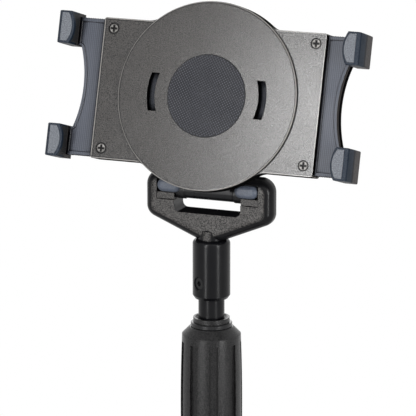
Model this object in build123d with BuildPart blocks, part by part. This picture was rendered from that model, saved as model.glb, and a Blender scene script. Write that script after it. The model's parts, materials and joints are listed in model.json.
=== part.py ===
from build123d import *
from math import atan, atan2, cos, degrees, pi, radians, sin, sqrt, tan
import os

# Adjustable tablet floor stand, in millimetres. The origin is on the floor at the middle
# of the round base, +Z is up, the holder's long side runs along X and its front looks to -Y.
os.makedirs("parts", exist_ok=True)

# Pose at rest: the holder leans back and the telescopic pole is fully down
tilt_rest = 17.0
axis_height = 870.0

# Shared clearances
overrun = 2.0
running_fit = 0.05
slide_gap = 0.2
seat_gap = 0.1

# Base
base_radius = 130.0
base_edge_height = 10.0
base_edge_round = 3.0
base_dome_rise = 7.0
base_hub_radius = 20.0
base_hub_height = 31.0
base_hub_flare = 9.0
base_hub_round = 2.5
base_recess_inner = 34.0
base_recess_outer = 92.0
base_recess_depth = 2.0
bolt_pocket_radius = 13.0
bolt_pocket_depth = 10.0
socket_depth = 14.0

# Feet
foot_count = 6
foot_radius = 10.0
foot_height = 4.0
foot_seat = 1.0
foot_ring_radius = 112.0
foot_edge = 0.8

# Base fastener
bolt_radius = 5.0
bolt_head_radius = 8.5
bolt_head_height = 6.0
bolt_length = 30.0
bolt_socket_radius = 4.0
bolt_socket_depth = 3.5
washer_radius = 11.5
washer_thickness = 1.8

# Pole
lower_tube_radius = 11.0
lower_tube_wall = 1.5
pole_foot_length = 30.0
upper_tube_radius = 8.0
upper_tube_wall = 1.2
slider_length = 42.0
slider_floor = 3.0
slider_rest_gap = 115.7
slider_slot_width = 2.0
slider_slot_length = 26.0

# Twist clutch
grip_length = 110.0
grip_shoulder = 4.8
grip_neck_radius = 13.3
grip_top_radius = 18.0
grip_belly_radius = 18.9
grip_bottom_radius = 17.2
grip_bottom_round = 2.0
flute_count = 9
flute_width = 5.5
flute_depth = 1.1
flute_top_drop = 4.4
flute_bottom_rise = 9.0
flute_start_angle = 15.4
clutch_cap_radius = 12.65
clutch_cap_height = 2.7
clutch_wiper_radius = 11.15
clutch_wiper_height = 3.1
clutch_wiper_dish = 1.2
clutch_tube_drop = 24.0
clutch_body_radius = 13.2
clutch_body_skirt = 56.0
clutch_body_crown = 14.0
clutch_shoulder = 3.0
clutch_thread_depth = 0.6
clutch_thread_pitch = 4.0
clutch_thread_count = 8
collet_seat_depth = 9.0
collet_low_radius = 8.9
collet_high_radius = 10.6
collet_slit_count = 6
collet_slit_width = 1.4
collet_ring_height = 3.0
end_ring_height = 5.0

# Collar between the pole and the yoke
collar_radius = 11.5
collar_length = 37.0
collar_drop = 29.8
collar_top_round = 3.0
collar_chamfer_height = 2.0
collar_chamfer_width = 1.3
collar_pocket_depth = 13.0
collar_web = 3.5
collar_tube_insert = 15.5
bare_tube = 12.2
cross_hole_rise = 10.2
cross_hole_radius = 3.75
cross_hole_rim = 0.75
cross_hole_heading = -25.6
set_screw_length = 2.1
set_screw_socket = 1.7
set_screw_socket_depth = 1.3

# Swivel fastener between the collar and the yoke
pan_screw_radius = 2.5
pan_screw_head_radius = 4.8
pan_screw_head_height = 3.0
pan_screw_length = 24.0
pan_screw_clearance = 0.7
pan_screw_socket = 2.0
friction_washer_thickness = 1.0
spring_washer_radius = 5.6
spring_washer_thickness = 0.8

# Yoke
yoke_half_width = 41.2
yoke_depth = 15.0
yoke_top = 10.85
yoke_side_low = -16.3
yoke_edge_round = 6.5
yoke_corner_round = 9.0
yoke_elbow_round = 8.0
yoke_point_round = 8.0
yoke_v_slope = 22.7
neck_radius = 8.25
neck_top = -22.5
neck_chamfer = 1.7
window_half_width = 21.5
window_bottom = -13.3
window_corner = 3.5
pocket_end = 32.9
pocket_low = -6.1
pocket_high = 6.9
pocket_depth = 3.3

# Tilt hinge
axle_radius = 3.0
axle_end_gap = 0.4
barrel_radius = 5.8
barrel_half_length = 15.5
bush_flange_radius = 6.3
bush_spigot_radius = 4.4
bush_spigot_length = 5.0
bush_chamfer = 0.5
cap_radius = 4.0
cap_inner_end = 17.6
cap_outer_gap = 0.4
cap_rise = 2.6
cap_back = 5.4
retainer_top = -1.75
retainer_bottom_gap = 0.35
retainer_recess = 0.5

# Holder shell
front_depth = 23.8
centre_rise = 55.17
plate_length = 143.2
plate_height = 86.0
plate_corner = 1.2
front_wall = 2.0
back_wall = 1.2
side_wall = 0.7
disc_radius = 57.4
disc_step = 2.2
disc_bevel = 1.1
disc_blend = 13.0
disc_wall = 1.6
divider_wall = 1.2
rib_thickness = 1.2
rib_spacing = 15.0
rib_count = 3
arm_depth = 8.8
channel_clearance = 0.15

# Friction pad and slots in the disc
pad_radius = 25.0
pad_thickness = 1.7
pad_recess = 1.4
pad_edge = 0.3
slot_inner_radius = 33.3
slot_outer_radius = 38.4
slot_height = 23.2

# Cover screws
cover_screw_inset = 6.4
cover_screw_head_radius = 3.1
cover_screw_head_height = 1.1
cover_screw_head_drop = 0.2
cover_screw_radius = 1.4
cover_screw_length = 9.0
cover_post_radius = 3.0
cross_recess_length = 4.0
cross_recess_width = 0.9
cross_recess_depth = 0.7

# Swivel hub behind the holder
hub_plate_radius = 34.0
hub_plate_thickness = 3.4
hub_bore_radius = 15.0
hub_boss_length = 5.1
friction_ring_inner = 18.0
friction_ring_outer = 30.0
friction_ring_thickness = 0.7
wave_washer_radius = 20.0
wave_washer_thickness = 0.6
hub_cap_radius = 22.0
hub_cap_thickness = 2.5
hub_cap_bevel = 0.8
hub_screw_ring_radius = 9.0
hub_screw_count = 3
hub_screw_radius = 1.4
hub_screw_head_radius = 2.7
hub_screw_head_height = 1.4
hub_screw_length = 4.3

# Bracket between the hinge barrel and the swivel hub
neck_half_width = 14.0
neck_root_offset = 30.0
gusset_thickness = 3.0
gusset_reach = 8.0
gusset_drop = 9.0

# Synchronising gear
gear_module = 1.0
gear_teeth = 16
gear_addendum_share = 0.9
gear_root_share = 1.15
gear_backlash = 0.2
gear_pressure_angle = 20.0
gear_gap = 0.3
gear_pin_radius = 2.95
flank_steps = 4

# Arms
arm_front_layer = 4.4
arm_layer_gap = 0.2
arm_end_gap = 0.6
arm_travel = 51.0
arm_slot_gap = 0.4
arm_slot_wall = 2.4
arm_waist_reach = 10.3
arm_shoulder_reach = 14.6
arm_ear_low = 25.0
arm_full_reach = 3.4
tongue_reach = 55.0
tongue_width = 8.0
arm_rib_width = 1.6
arm_rib_inner = 14.0
arm_rib_place = 21.0
panel_reach = 1.4
panel_border = 1.6
panel_depth = 0.5
edge_tooth_pitch = 1.5
edge_tooth_depth = 0.7
edge_tooth_start = 22.0
edge_tooth_reach = 13.4
side_groove_width = 1.0
side_groove_depth = 0.6
side_groove_place = 5.6
tab_length = 5.5
tab_side_gap = 2.0

# Hooks
hook_wall_reach = 17.3
hook_thickness = 8.1
hook_low = 24.5
hook_high = 44.3
hook_front = 13.2
hook_lip_thickness = 2.8
hook_lip_reach = 2.8
hook_bulge = 0.3
hook_bulge_back = 0.4
hook_bulge_place = 2.0
hook_front_round = 2.4
hook_edge = 0.8
hook_panel_inset = 1.3
hook_panel_rise = 0.4


# Levels and frames worked out from the sizes above
foot_stand = foot_height - foot_seat
base_top = foot_stand + base_edge_height
hub_top = foot_stand + base_hub_height
tube_foot = hub_top - socket_depth
bolt_ceiling = foot_stand + bolt_pocket_depth

collar_top = axis_height - collar_drop
collar_bottom = collar_top - collar_length
collar_pocket_floor = collar_top - collar_pocket_depth
collar_web_floor = collar_pocket_floor - collar_web
upper_tube_top = collar_bottom + collar_tube_insert

upper_tube_bottom = tube_foot + pole_foot_length + slider_rest_gap + slider_floor
upper_tube_length = upper_tube_top - upper_tube_bottom

wiper_top = collar_bottom - bare_tube
cap_top = wiper_top - clutch_wiper_height
grip_top = cap_top - clutch_cap_height
grip_bottom = grip_top - grip_length
lower_tube_top = grip_top - clutch_tube_drop
clutch_body_top = lower_tube_top + clutch_body_crown
clutch_body_bottom = lower_tube_top - clutch_body_skirt

tilt_sin = sin(radians(tilt_rest))
tilt_cos = cos(radians(tilt_rest))
centre_y = centre_rise * tilt_sin - front_depth * tilt_cos
centre_z = axis_height + centre_rise * tilt_cos + front_depth * tilt_sin
plate_end = plate_length / 2
cover_screw_x = plate_end - cover_screw_inset
cover_screw_y = plate_height / 2 - cover_screw_inset
arm_waist = plate_end + arm_waist_reach
arm_waist_shoulder = plate_end + arm_shoulder_reach
arm_full_start = plate_end + arm_full_reach
panel_start = plate_end + panel_reach
edge_tooth_end = plate_end + edge_tooth_reach
hook_inner = plate_end + hook_wall_reach
hook_outer = hook_inner + hook_thickness
tab_outer = hook_inner + tab_length
holder_depth = front_wall + slide_gap + arm_depth + slide_gap + back_wall
arm_front = -front_wall - slide_gap
arm_rear = arm_front - arm_depth
layer_rear = arm_front - arm_front_layer
tongue_front = layer_rear - arm_layer_gap
shell_floor = back_wall - holder_depth
channel_half = plate_height / 2 - side_wall
arm_half = channel_half - channel_clearance
cover_split = layer_rear
boss_end = -holder_depth - hub_boss_length
hub_front = -holder_depth - 2 * seat_gap - friction_ring_thickness
hub_rear = hub_front - hub_plate_thickness
gear_radius = gear_module * gear_teeth / 2

# The holder's face: local x along the plate, local y up the plate, local z out of its front
face = Plane(origin=(0, centre_y, centre_z), x_dir=(1, 0, 0), z_dir=(0, -tilt_cos, tilt_sin))
# The holder's side view: local x up the plate, local y out of its front, local z along X
profile = Plane(origin=face.origin, x_dir=(0, tilt_sin, tilt_cos), z_dir=(1, 0, 0))
# Looking along the tilt axle: local x to the back, local y up, local z along X
axle_side = Plane(origin=(0, 0, axis_height), x_dir=(0, 1, 0), z_dir=(1, 0, 0))
# Each arm's own frame has local x pointing outwards, so one drawing serves both arms
arm_planes = {
    "left": Plane(origin=face.origin, x_dir=(-1, 0, 0), z_dir=face.z_dir),
    "right": Plane(origin=face.origin, x_dir=(1, 0, 0), z_dir=face.z_dir),
}


# Base: a domed cast plate with a hub that the pole stands in
with BuildPart() as base_plate:
    with BuildSketch(Plane.XZ):
        with BuildLine():
            dome_foot = base_hub_radius + base_hub_flare
            dome_top = base_top + base_dome_rise
            middle = (base_radius + dome_foot) / 2
            bulge = base_dome_rise / 2 + base_recess_depth
            Polyline((0, hub_top), (0, foot_stand), (base_radius, foot_stand),
                     (base_radius, base_top))
            ThreePointArc((base_radius, base_top), (middle, base_top + bulge),
                          (dome_foot, dome_top))
            Polyline((dome_foot, dome_top), (base_hub_radius, dome_top + base_hub_flare),
                     (base_hub_radius, hub_top), (0, hub_top))
        make_face()
    revolve(axis=Axis.Z)
    rims = [e for e in base_plate.edges().filter_by(GeomType.CIRCLE)
            if abs(e.radius - base_radius) < seat_gap]
    fillet(ShapeList(rims).sort_by(Axis.Z)[-1], radius=base_edge_round)
    fillet(base_plate.faces().sort_by(Axis.Z)[-1].edges(), radius=base_hub_round)
    with BuildSketch(Plane.XY.offset(foot_stand)):
        Circle(base_recess_outer)
        Circle(base_recess_inner, mode=Mode.SUBTRACT)
    extrude(amount=base_recess_depth, mode=Mode.SUBTRACT)
    with BuildSketch(Plane.XY.offset(foot_stand)):
        with PolarLocations(foot_ring_radius, foot_count):
            Circle(foot_radius + seat_gap)
    extrude(amount=foot_seat, mode=Mode.SUBTRACT)
    with BuildSketch(Plane.XY.offset(foot_stand)):
        Circle(bolt_pocket_radius)
    extrude(amount=bolt_pocket_depth, mode=Mode.SUBTRACT)
    with BuildSketch(Plane.XY.offset(foot_stand)):
        Circle(bolt_radius + seat_gap)
    extrude(amount=base_hub_height, mode=Mode.SUBTRACT)
    with BuildSketch(Plane.XY.offset(tube_foot)):
        Circle(lower_tube_radius + running_fit)
    extrude(amount=socket_depth + overrun, mode=Mode.SUBTRACT)
base_plate.part.label = "base_plate"
export_step(base_plate.part, "parts/base_plate.step")

# Rubber feet, pressed into round seats under the base
with BuildPart() as base_feet:
    with BuildSketch(Plane.XY):
        with PolarLocations(foot_ring_radius, foot_count):
            Circle(foot_radius)
    extrude(amount=foot_height)
    chamfer(base_feet.faces().group_by(Axis.Z)[0].edges(), length=foot_edge)
base_feet.part.label = "base_feet"
export_step(base_feet.part, "parts/base_feet.step")

# Washer and socket bolt that draw the pole down into the hub from below
with BuildPart() as base_washer:
    with BuildSketch(Plane.XY.offset(bolt_ceiling - washer_thickness)):
        Circle(washer_radius)
        Circle(bolt_radius + seat_gap, mode=Mode.SUBTRACT)
    extrude(amount=washer_thickness)
base_washer.part.label = "base_washer"
export_step(base_washer.part, "parts/base_washer.step")

with BuildPart() as base_bolt:
    head_top = bolt_ceiling - washer_thickness
    with BuildSketch(Plane.XY.offset(head_top - bolt_head_height)):
        Circle(bolt_head_radius)
    extrude(amount=bolt_head_height)
    chamfer(base_bolt.faces().sort_by(Axis.Z)[0].edges(), length=foot_edge)
    with BuildSketch(Plane.XY.offset(head_top)):
        Circle(bolt_radius)
    extrude(amount=bolt_length)
    with BuildSketch(Plane.XY.offset(head_top - bolt_head_height)):
        RegularPolygon(bolt_socket_radius, 6)
    extrude(amount=bolt_socket_depth, mode=Mode.SUBTRACT)
base_bolt.part.label = "base_bolt"
export_step(base_bolt.part, "parts/base_bolt.step")

# Threaded plug pressed into the foot of the lower tube
with BuildPart() as pole_foot:
    with BuildSketch(Plane.XY.offset(tube_foot)):
        Circle(lower_tube_radius - lower_tube_wall)
        Circle(bolt_radius + seat_gap, mode=Mode.SUBTRACT)
    extrude(amount=pole_foot_length)
pole_foot.part.label = "pole_foot"
export_step(pole_foot.part, "parts/pole_foot.step")

with BuildPart() as lower_tube:
    with BuildSketch(Plane.XY.offset(tube_foot)):
        Circle(lower_tube_radius)
        Circle(lower_tube_radius - lower_tube_wall, mode=Mode.SUBTRACT)
    extrude(amount=lower_tube_top - tube_foot)
lower_tube.part.label = "lower_tube"
export_step(lower_tube.part, "parts/lower_tube.step")

# Clutch body: a sleeve on the lower tube with a tapered seat and a coarse thread outside
with BuildPart() as clutch_body:
    seat_floor = clutch_body_top - collet_seat_depth
    with BuildSketch(Plane.XZ):
        with BuildLine():
            Polyline((lower_tube_radius + running_fit, clutch_body_bottom),
                     (clutch_body_radius, clutch_body_bottom),
                     (clutch_body_radius, clutch_body_top),
                     (collet_high_radius, clutch_body_top),
                     (collet_low_radius, seat_floor),
                     (collet_low_radius, lower_tube_top + seat_gap),
                     (lower_tube_radius + running_fit, lower_tube_top + seat_gap),
                     close=True)
        make_face()
        thread_top = clutch_body_top - clutch_shoulder
        for turn in range(clutch_thread_count):
            groove_z = thread_top - (turn + 1) * clutch_thread_pitch
            with BuildLine():
                Polyline((clutch_body_radius, groove_z + clutch_thread_pitch / 3),
                         (clutch_body_radius - clutch_thread_depth, groove_z),
                         (clutch_body_radius, groove_z - clutch_thread_pitch / 3),
                         close=True)
            make_face(mode=Mode.SUBTRACT)
    revolve(axis=Axis.Z)
clutch_body.part.label = "clutch_body"
export_step(clutch_body.part, "parts/clutch_body.step")

# Collet: a split tapered sleeve that grips the upper tube when it is pushed into its seat
with BuildPart() as clutch_collet:
    collet_top = grip_top - seat_gap
    collet_floor = clutch_body_top - collet_seat_depth + slide_gap
    with BuildSketch(Plane.XZ):
        with BuildLine():
            Polyline((upper_tube_radius + running_fit, collet_floor),
                     (collet_low_radius - seat_gap, collet_floor),
                     (collet_high_radius - seat_gap, clutch_body_top),
                     (collet_high_radius - seat_gap, collet_top),
                     (upper_tube_radius + running_fit, collet_top),
                     close=True)
        make_face()
    revolve(axis=Axis.Z)
    with BuildSketch(Plane.XY.offset(collet_floor)):
        with PolarLocations(upper_tube_radius, collet_slit_count):
            Rectangle(2 * overrun + collet_high_radius - upper_tube_radius, collet_slit_width)
    extrude(amount=collet_top - collet_ring_height - collet_floor, mode=Mode.SUBTRACT)
clutch_collet.part.label = "clutch_collet"
export_step(clutch_collet.part, "parts/clutch_collet.step")

# Twist grip: a conical shoulder over a slightly swelling handle with long flutes
with BuildPart() as clutch_grip:
    shoulder_z = grip_top - grip_shoulder
    belly_z = (grip_top + grip_bottom) / 2
    with BuildSketch(Plane.XZ):
        with BuildLine():
            Line((grip_neck_radius, grip_top), (grip_top_radius, shoulder_z))
            ThreePointArc((grip_top_radius, shoulder_z), (grip_belly_radius, belly_z),
                          (grip_bottom_radius, grip_bottom))
            Polyline((grip_bottom_radius, grip_bottom),
                     (clutch_body_radius + slide_gap, grip_bottom),
                     (clutch_body_radius + slide_gap, clutch_body_top + slide_gap),
                     (collet_high_radius + slide_gap, clutch_body_top + slide_gap),
                     (collet_high_radius + slide_gap, grip_top),
                     (grip_neck_radius, grip_top))
        make_face()
    revolve(axis=Axis.Z)
    outer_rim = clutch_grip.edges().group_by(Axis.Z)[0].sort_by(SortBy.RADIUS)[-1]
    fillet(outer_rim, radius=grip_bottom_round)
    flute_low = grip_bottom + flute_bottom_rise
    flute_high = shoulder_z - flute_top_drop
    flute_mid = grip_top_radius - flute_depth + flute_width / 2
    with BuildSketch(Plane.XY.offset(flute_low)):
        with PolarLocations(flute_mid, flute_count, start_angle=flute_start_angle):
            Rectangle(flute_width, flute_width)
    extrude(amount=flute_high - flute_low, mode=Mode.SUBTRACT)
clutch_grip.part.label = "clutch_grip"
export_step(clutch_grip.part, "parts/clutch_grip.step")

# Cap ring on the grip, with the wiper ring above it
with BuildPart() as clutch_cap:
    with BuildSketch(Plane.XY.offset(grip_top)):
        Circle(clutch_cap_radius)
        Circle(upper_tube_radius + slide_gap, mode=Mode.SUBTRACT)
    extrude(amount=clutch_cap_height)
    outer = clutch_cap.edges().filter_by(GeomType.CIRCLE).group_by(SortBy.RADIUS)[-1]
    chamfer(outer, length=disc_bevel / 3)
clutch_cap.part.label = "clutch_cap"
export_step(clutch_cap.part, "parts/clutch_cap.step")

with BuildPart() as clutch_wiper:
    with BuildSketch(Plane.XZ):
        with BuildLine():
            bore = upper_tube_radius + slide_gap
            Polyline((bore, cap_top), (clutch_wiper_radius, cap_top),
                     (clutch_wiper_radius, wiper_top),
                     (clutch_wiper_radius - clutch_wiper_dish, wiper_top),
                     (bore, wiper_top - clutch_wiper_dish), close=True)
        make_face()
    revolve(axis=Axis.Z)
clutch_wiper.part.label = "clutch_wiper"
export_step(clutch_wiper.part, "parts/clutch_wiper.step")

# Ring that closes the grip around the lower tube
with BuildPart() as grip_end_ring:
    with BuildSketch(Plane.XY.offset(grip_bottom)):
        Circle(clutch_body_radius + slide_gap)
        Circle(lower_tube_radius + slide_gap, mode=Mode.SUBTRACT)
    extrude(amount=end_ring_height)
grip_end_ring.part.label = "grip_end_ring"
export_step(grip_end_ring.part, "parts/grip_end_ring.step")

with BuildPart() as upper_tube:
    with BuildSketch(Plane.XY.offset(upper_tube_bottom)):
        Circle(upper_tube_radius)
        Circle(upper_tube_radius - upper_tube_wall, mode=Mode.SUBTRACT)
    extrude(amount=upper_tube_length)
upper_tube.part.label = "upper_tube"
export_step(upper_tube.part, "parts/upper_tube.step")

# Slider on the foot of the upper tube, split so that it springs against the lower tube
with BuildPart() as slider_bush:
    slider_foot = upper_tube_bottom - slider_floor
    with BuildSketch(Plane.XZ):
        with BuildLine():
            Polyline((upper_tube_radius - upper_tube_wall, slider_foot),
                     (lower_tube_radius - lower_tube_wall - running_fit, slider_foot),
                     (lower_tube_radius - lower_tube_wall - running_fit,
                      slider_foot + slider_length),
                     (upper_tube_radius + running_fit, slider_foot + slider_length),
                     (upper_tube_radius + running_fit, upper_tube_bottom),
                     (upper_tube_radius - upper_tube_wall, upper_tube_bottom),
                     close=True)
        make_face()
    revolve(axis=Axis.Z)
    with BuildSketch(Plane.XY.offset(slider_foot + slider_length - slider_slot_length)):
        Rectangle(2 * lower_tube_radius, slider_slot_width)
    extrude(amount=slider_slot_length + overrun, mode=Mode.SUBTRACT)
slider_bush.part.label = "slider_bush"
export_step(slider_bush.part, "parts/slider_bush.step")

# Collar: the yoke's neck turns in its upper pocket and the pole is clamped in its lower one
cross_hole_z = collar_bottom + cross_hole_rise
heading = radians(cross_hole_heading)
cross_hole_plane = Plane(origin=(0, 0, cross_hole_z), x_dir=(cos(heading), sin(heading), 0),
                         z_dir=(sin(heading), -cos(heading), 0))
with BuildPart() as collar:
    with BuildSketch(Plane.XZ):
        with BuildLine():
            Polyline((pan_screw_radius + pan_screw_clearance, collar_web_floor),
                     (upper_tube_radius + running_fit, collar_web_floor),
                     (upper_tube_radius + running_fit, collar_bottom),
                     (collar_radius - collar_chamfer_width, collar_bottom),
                     (collar_radius, collar_bottom + collar_chamfer_height),
                     (collar_radius, collar_top),
                     (neck_radius + running_fit, collar_top),
                     (neck_radius + running_fit, collar_pocket_floor),
                     (pan_screw_radius + pan_screw_clearance, collar_pocket_floor),
                     close=True)
        make_face()
    revolve(axis=Axis.Z)
    crown = collar.edges().group_by(Axis.Z)[-1].sort_by(SortBy.RADIUS)[-1]
    fillet(crown, radius=collar_top_round)
    with BuildSketch(cross_hole_plane.offset(upper_tube_radius / 2)):
        Circle(cross_hole_radius)
    extrude(amount=collar_radius, mode=Mode.SUBTRACT)
    with BuildSketch(cross_hole_plane.offset(collar_radius - cross_hole_rim)):
        Circle(cross_hole_radius)
    with BuildSketch(cross_hole_plane.offset(collar_radius + cross_hole_rim)):
        Circle(cross_hole_radius + 2 * cross_hole_rim)
    loft(mode=Mode.SUBTRACT)
collar.part.label = "collar"
export_step(collar.part, "parts/collar.step")

# Set screw at the bottom of the cross hole, pressing on the tube
with BuildPart() as collar_set_screw:
    with BuildSketch(cross_hole_plane.offset(upper_tube_radius + seat_gap)):
        Circle(cross_hole_radius - seat_gap)
    extrude(amount=set_screw_length)
    with BuildSketch(cross_hole_plane.offset(upper_tube_radius + seat_gap + set_screw_length)):
        RegularPolygon(set_screw_socket, 6)
    extrude(amount=-set_screw_socket_depth, mode=Mode.SUBTRACT)
collar_set_screw.part.label = "collar_set_screw"
export_step(collar_set_screw.part, "parts/collar_set_screw.step")

# Washers and screw that hold the yoke down in the collar and let it turn
with BuildPart() as swivel_friction_washer:
    with BuildSketch(Plane.XY.offset(collar_pocket_floor)):
        Circle(neck_radius - seat_gap)
        Circle(pan_screw_radius + pan_screw_clearance, mode=Mode.SUBTRACT)
    extrude(amount=friction_washer_thickness)
swivel_friction_washer.part.label = "swivel_friction_washer"
export_step(swivel_friction_washer.part, "parts/swivel_friction_washer.step")

with BuildPart() as swivel_spring_washer:
    with BuildSketch(Plane.XY.offset(collar_web_floor - spring_washer_thickness)):
        Circle(spring_washer_radius)
        Circle(pan_screw_radius + pan_screw_clearance, mode=Mode.SUBTRACT)
    extrude(amount=spring_washer_thickness)
swivel_spring_washer.part.label = "swivel_spring_washer"
export_step(swivel_spring_washer.part, "parts/swivel_spring_washer.step")

pan_head_top = collar_web_floor - spring_washer_thickness - seat_gap
with BuildPart() as swivel_screw:
    with BuildSketch(Plane.XY.offset(pan_head_top - pan_screw_head_height)):
        Circle(pan_screw_head_radius)
    extrude(amount=pan_screw_head_height)
    with BuildSketch(Plane.XY.offset(pan_head_top)):
        Circle(pan_screw_radius)
    extrude(amount=pan_screw_length)
    with BuildSketch(Plane.XY.offset(pan_head_top - pan_screw_head_height)):
        RegularPolygon(pan_screw_socket, 6)
    extrude(amount=pan_screw_head_height / 2, mode=Mode.SUBTRACT)
swivel_screw.part.label = "swivel_screw"
export_step(swivel_screw.part, "parts/swivel_screw.step")

# Yoke: a five-sided fork with fully rounded edges on a round neck
yoke_mid = Plane(origin=(0, 0, axis_height), x_dir=(1, 0, 0), z_dir=(0, -1, 0))
v_rise = yoke_half_width * tan(radians(yoke_v_slope))
neck_foot = collar_pocket_floor + friction_washer_thickness + seat_gap
with BuildPart() as yoke:
    with BuildSketch(yoke_mid.offset(-yoke_depth / 2)):
        with BuildLine():
            Polyline((-yoke_half_width, yoke_top), (yoke_half_width, yoke_top),
                     (yoke_half_width, yoke_side_low), (0, yoke_side_low - v_rise),
                     (-yoke_half_width, yoke_side_low), close=True)
        make_face()
        corners = vertices().group_by(Axis.Y)
        fillet(corners[-1], radius=yoke_corner_round)
        corners = vertices().group_by(Axis.Y)
        fillet(corners[0], radius=yoke_point_round)
        elbows = [v for v in vertices() if abs(v.Y - yoke_side_low) < slide_gap]
        fillet(elbows, radius=yoke_elbow_round)
    extrude(amount=yoke_depth)
    outline = yoke.faces().filter_by(Axis.Y).edges()
    fillet(outline, radius=yoke_edge_round)
    # Below the collar's rim there is only the round neck
    with BuildSketch(Plane.XY.offset(collar_top + seat_gap)):
        Circle(2 * collar_radius)
    extrude(amount=-collar_length, mode=Mode.SUBTRACT)
    with BuildSketch(Plane.XY.offset(neck_foot)):
        Circle(neck_radius)
    neck_crown = axis_height + neck_top
    extrude(amount=neck_crown - neck_foot - neck_chamfer)
    with BuildSketch(Plane.XY.offset(neck_crown - neck_chamfer)):
        Circle(neck_radius)
    extrude(amount=neck_chamfer, taper=degrees(atan(1)))
    # Gap between the uprights, with the window below the hinge
    with BuildSketch(yoke_mid.offset(-yoke_depth)):
        with BuildLine():
            Polyline((-window_half_width, yoke_top + overrun),
                     (window_half_width, yoke_top + overrun),
                     (window_half_width, window_bottom),
                     (-window_half_width, window_bottom), close=True)
        make_face()
        fillet(vertices().group_by(Axis.Y)[0], radius=window_corner)
    extrude(amount=2 * yoke_depth, mode=Mode.SUBTRACT)
    # Pockets for the axle's ends, open to the front and to the gap
    for side in (-1, 1):
        with BuildSketch(yoke_mid.offset(pocket_depth)):
            with BuildLine():
                near = side * (window_half_width - overrun)
                far = side * pocket_end
                Polyline((near, pocket_low), (far, pocket_low), (far, pocket_high),
                         (near, pocket_high), close=True)
            make_face()
        extrude(amount=yoke_depth, mode=Mode.SUBTRACT)
        with BuildSketch(yoke_mid.offset(0)):
            with BuildLine():
                half = axle_radius + running_fit
                Polyline((near, -half), (far, -half), (far, half), (near, half), close=True)
            make_face()
        extrude(amount=pocket_depth + overrun, mode=Mode.SUBTRACT)
        with BuildSketch(axle_side.offset(near)):
            Circle(axle_radius + running_fit)
        extrude(amount=far - near, mode=Mode.SUBTRACT)
    # Threaded hole for the swivel screw
    with BuildSketch(Plane.XY.offset(neck_foot)):
        Circle(pan_screw_radius + seat_gap)
    extrude(amount=pan_screw_length - collar_web - friction_washer_thickness,
            mode=Mode.SUBTRACT)
yoke.part.label = "yoke"
export_step(yoke.part, "parts/yoke.step")

# Tilt axle and the pieces that lock it in the yoke's pockets
axle_half = pocket_end - axle_end_gap
with BuildPart() as tilt_axle:
    with BuildSketch(axle_side.offset(-axle_half)):
        Circle(axle_radius)
    extrude(amount=2 * axle_half)
tilt_axle.part.label = "tilt_axle"
export_step(tilt_axle.part, "parts/tilt_axle.step")

for name, side in (("left", -1), ("right", 1)):
    # Sausage-shaped cap, flat at the back where it presses on the axle
    cap_far = pocket_end - cap_outer_gap
    with BuildPart() as axle_cap:
        cap_line = Plane(origin=(side * cap_inner_end, -cap_back, axis_height + cap_rise),
                         x_dir=(0, 0, 1), z_dir=(side, 0, 0))
        with BuildSketch(Plane(origin=cap_line.origin, x_dir=(side, 0, 0), z_dir=(0, -1, 0))):
            with Locations(((cap_far - cap_inner_end) / 2, 0)):
                SlotOverall(cap_far - cap_inner_end, 2 * cap_radius)
        extrude(amount=cap_radius - slide_gap)
        chamfer_rim = axle_cap.faces().sort_by(Axis.Y)[0].edges()
        fillet(chamfer_rim, radius=cap_radius * 2 / 3)
        with BuildSketch(Plane(origin=cap_line.origin, x_dir=(side, 0, 0), z_dir=(0, -1, 0))):
            with Locations(((cap_far - cap_inner_end) / 2, 0)):
                SlotOverall(cap_far - cap_inner_end, 2 * cap_radius)
        extrude(amount=-(cap_back - pocket_depth))
        with BuildSketch(axle_side.offset(side * (window_half_width - window_corner * 2))):
            Circle(bush_flange_radius + slide_gap)
        extrude(amount=side * window_corner * 2, mode=Mode.SUBTRACT)
    axle_cap.part.label = f"{name}_axle_cap"
    export_step(axle_cap.part, f"parts/{name}_axle_cap.step")

    # Square retainer under the cap
    with BuildPart() as retainer:
        with BuildSketch(yoke_mid.offset(pocket_depth)):
            with BuildLine():
                near = side * (window_half_width + seat_gap)
                far = side * (pocket_end - seat_gap)
                low = pocket_low + retainer_bottom_gap
                Polyline((near, low), (far, low), (far, retainer_top), (near, retainer_top),
                         close=True)
            make_face()
        extrude(amount=yoke_depth / 2 - pocket_depth - retainer_recess)
    retainer.part.label = f"{name}_axle_retainer"
    export_step(retainer.part, f"parts/{name}_axle_retainer.step")

# Flanged bushes in the ends of the hinge barrel, running on the axle
for name, side in (("left", -1), ("right", 1)):
    with BuildPart() as hinge_bush:
        flange_near = side * (barrel_half_length + seat_gap)
        flange_far = side * (window_half_width - seat_gap)
        with BuildSketch(axle_side.offset(flange_near)):
            Circle(bush_flange_radius)
        extrude(amount=flange_far - flange_near)
        chamfer(hinge_bush.edges().filter_by(GeomType.CIRCLE), length=bush_chamfer)
        with BuildSketch(axle_side.offset(flange_near)):
            Circle(bush_spigot_radius)
        extrude(amount=-side * bush_spigot_length)
        with BuildSketch(axle_side.offset(flange_far)):
            Circle(axle_radius + running_fit)
        extrude(amount=-side * barrel_half_length, mode=Mode.SUBTRACT)
    hinge_bush.part.label = f"{name}_hinge_bush"
    export_step(hinge_bush.part, f"parts/{name}_hinge_bush.step")


def barrel_tangent(root_x, root_y, side):
    """Where a line from a point of the side view touches the hinge barrel."""
    away_x = root_x + centre_rise
    away_y = root_y + front_depth
    reach = sqrt(away_x ** 2 + away_y ** 2)
    turn = atan2(away_y, away_x) + side * (pi / 2 - atan(barrel_radius / reach))
    return (barrel_radius * cos(turn) - centre_rise, barrel_radius * sin(turn) - front_depth)


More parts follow.
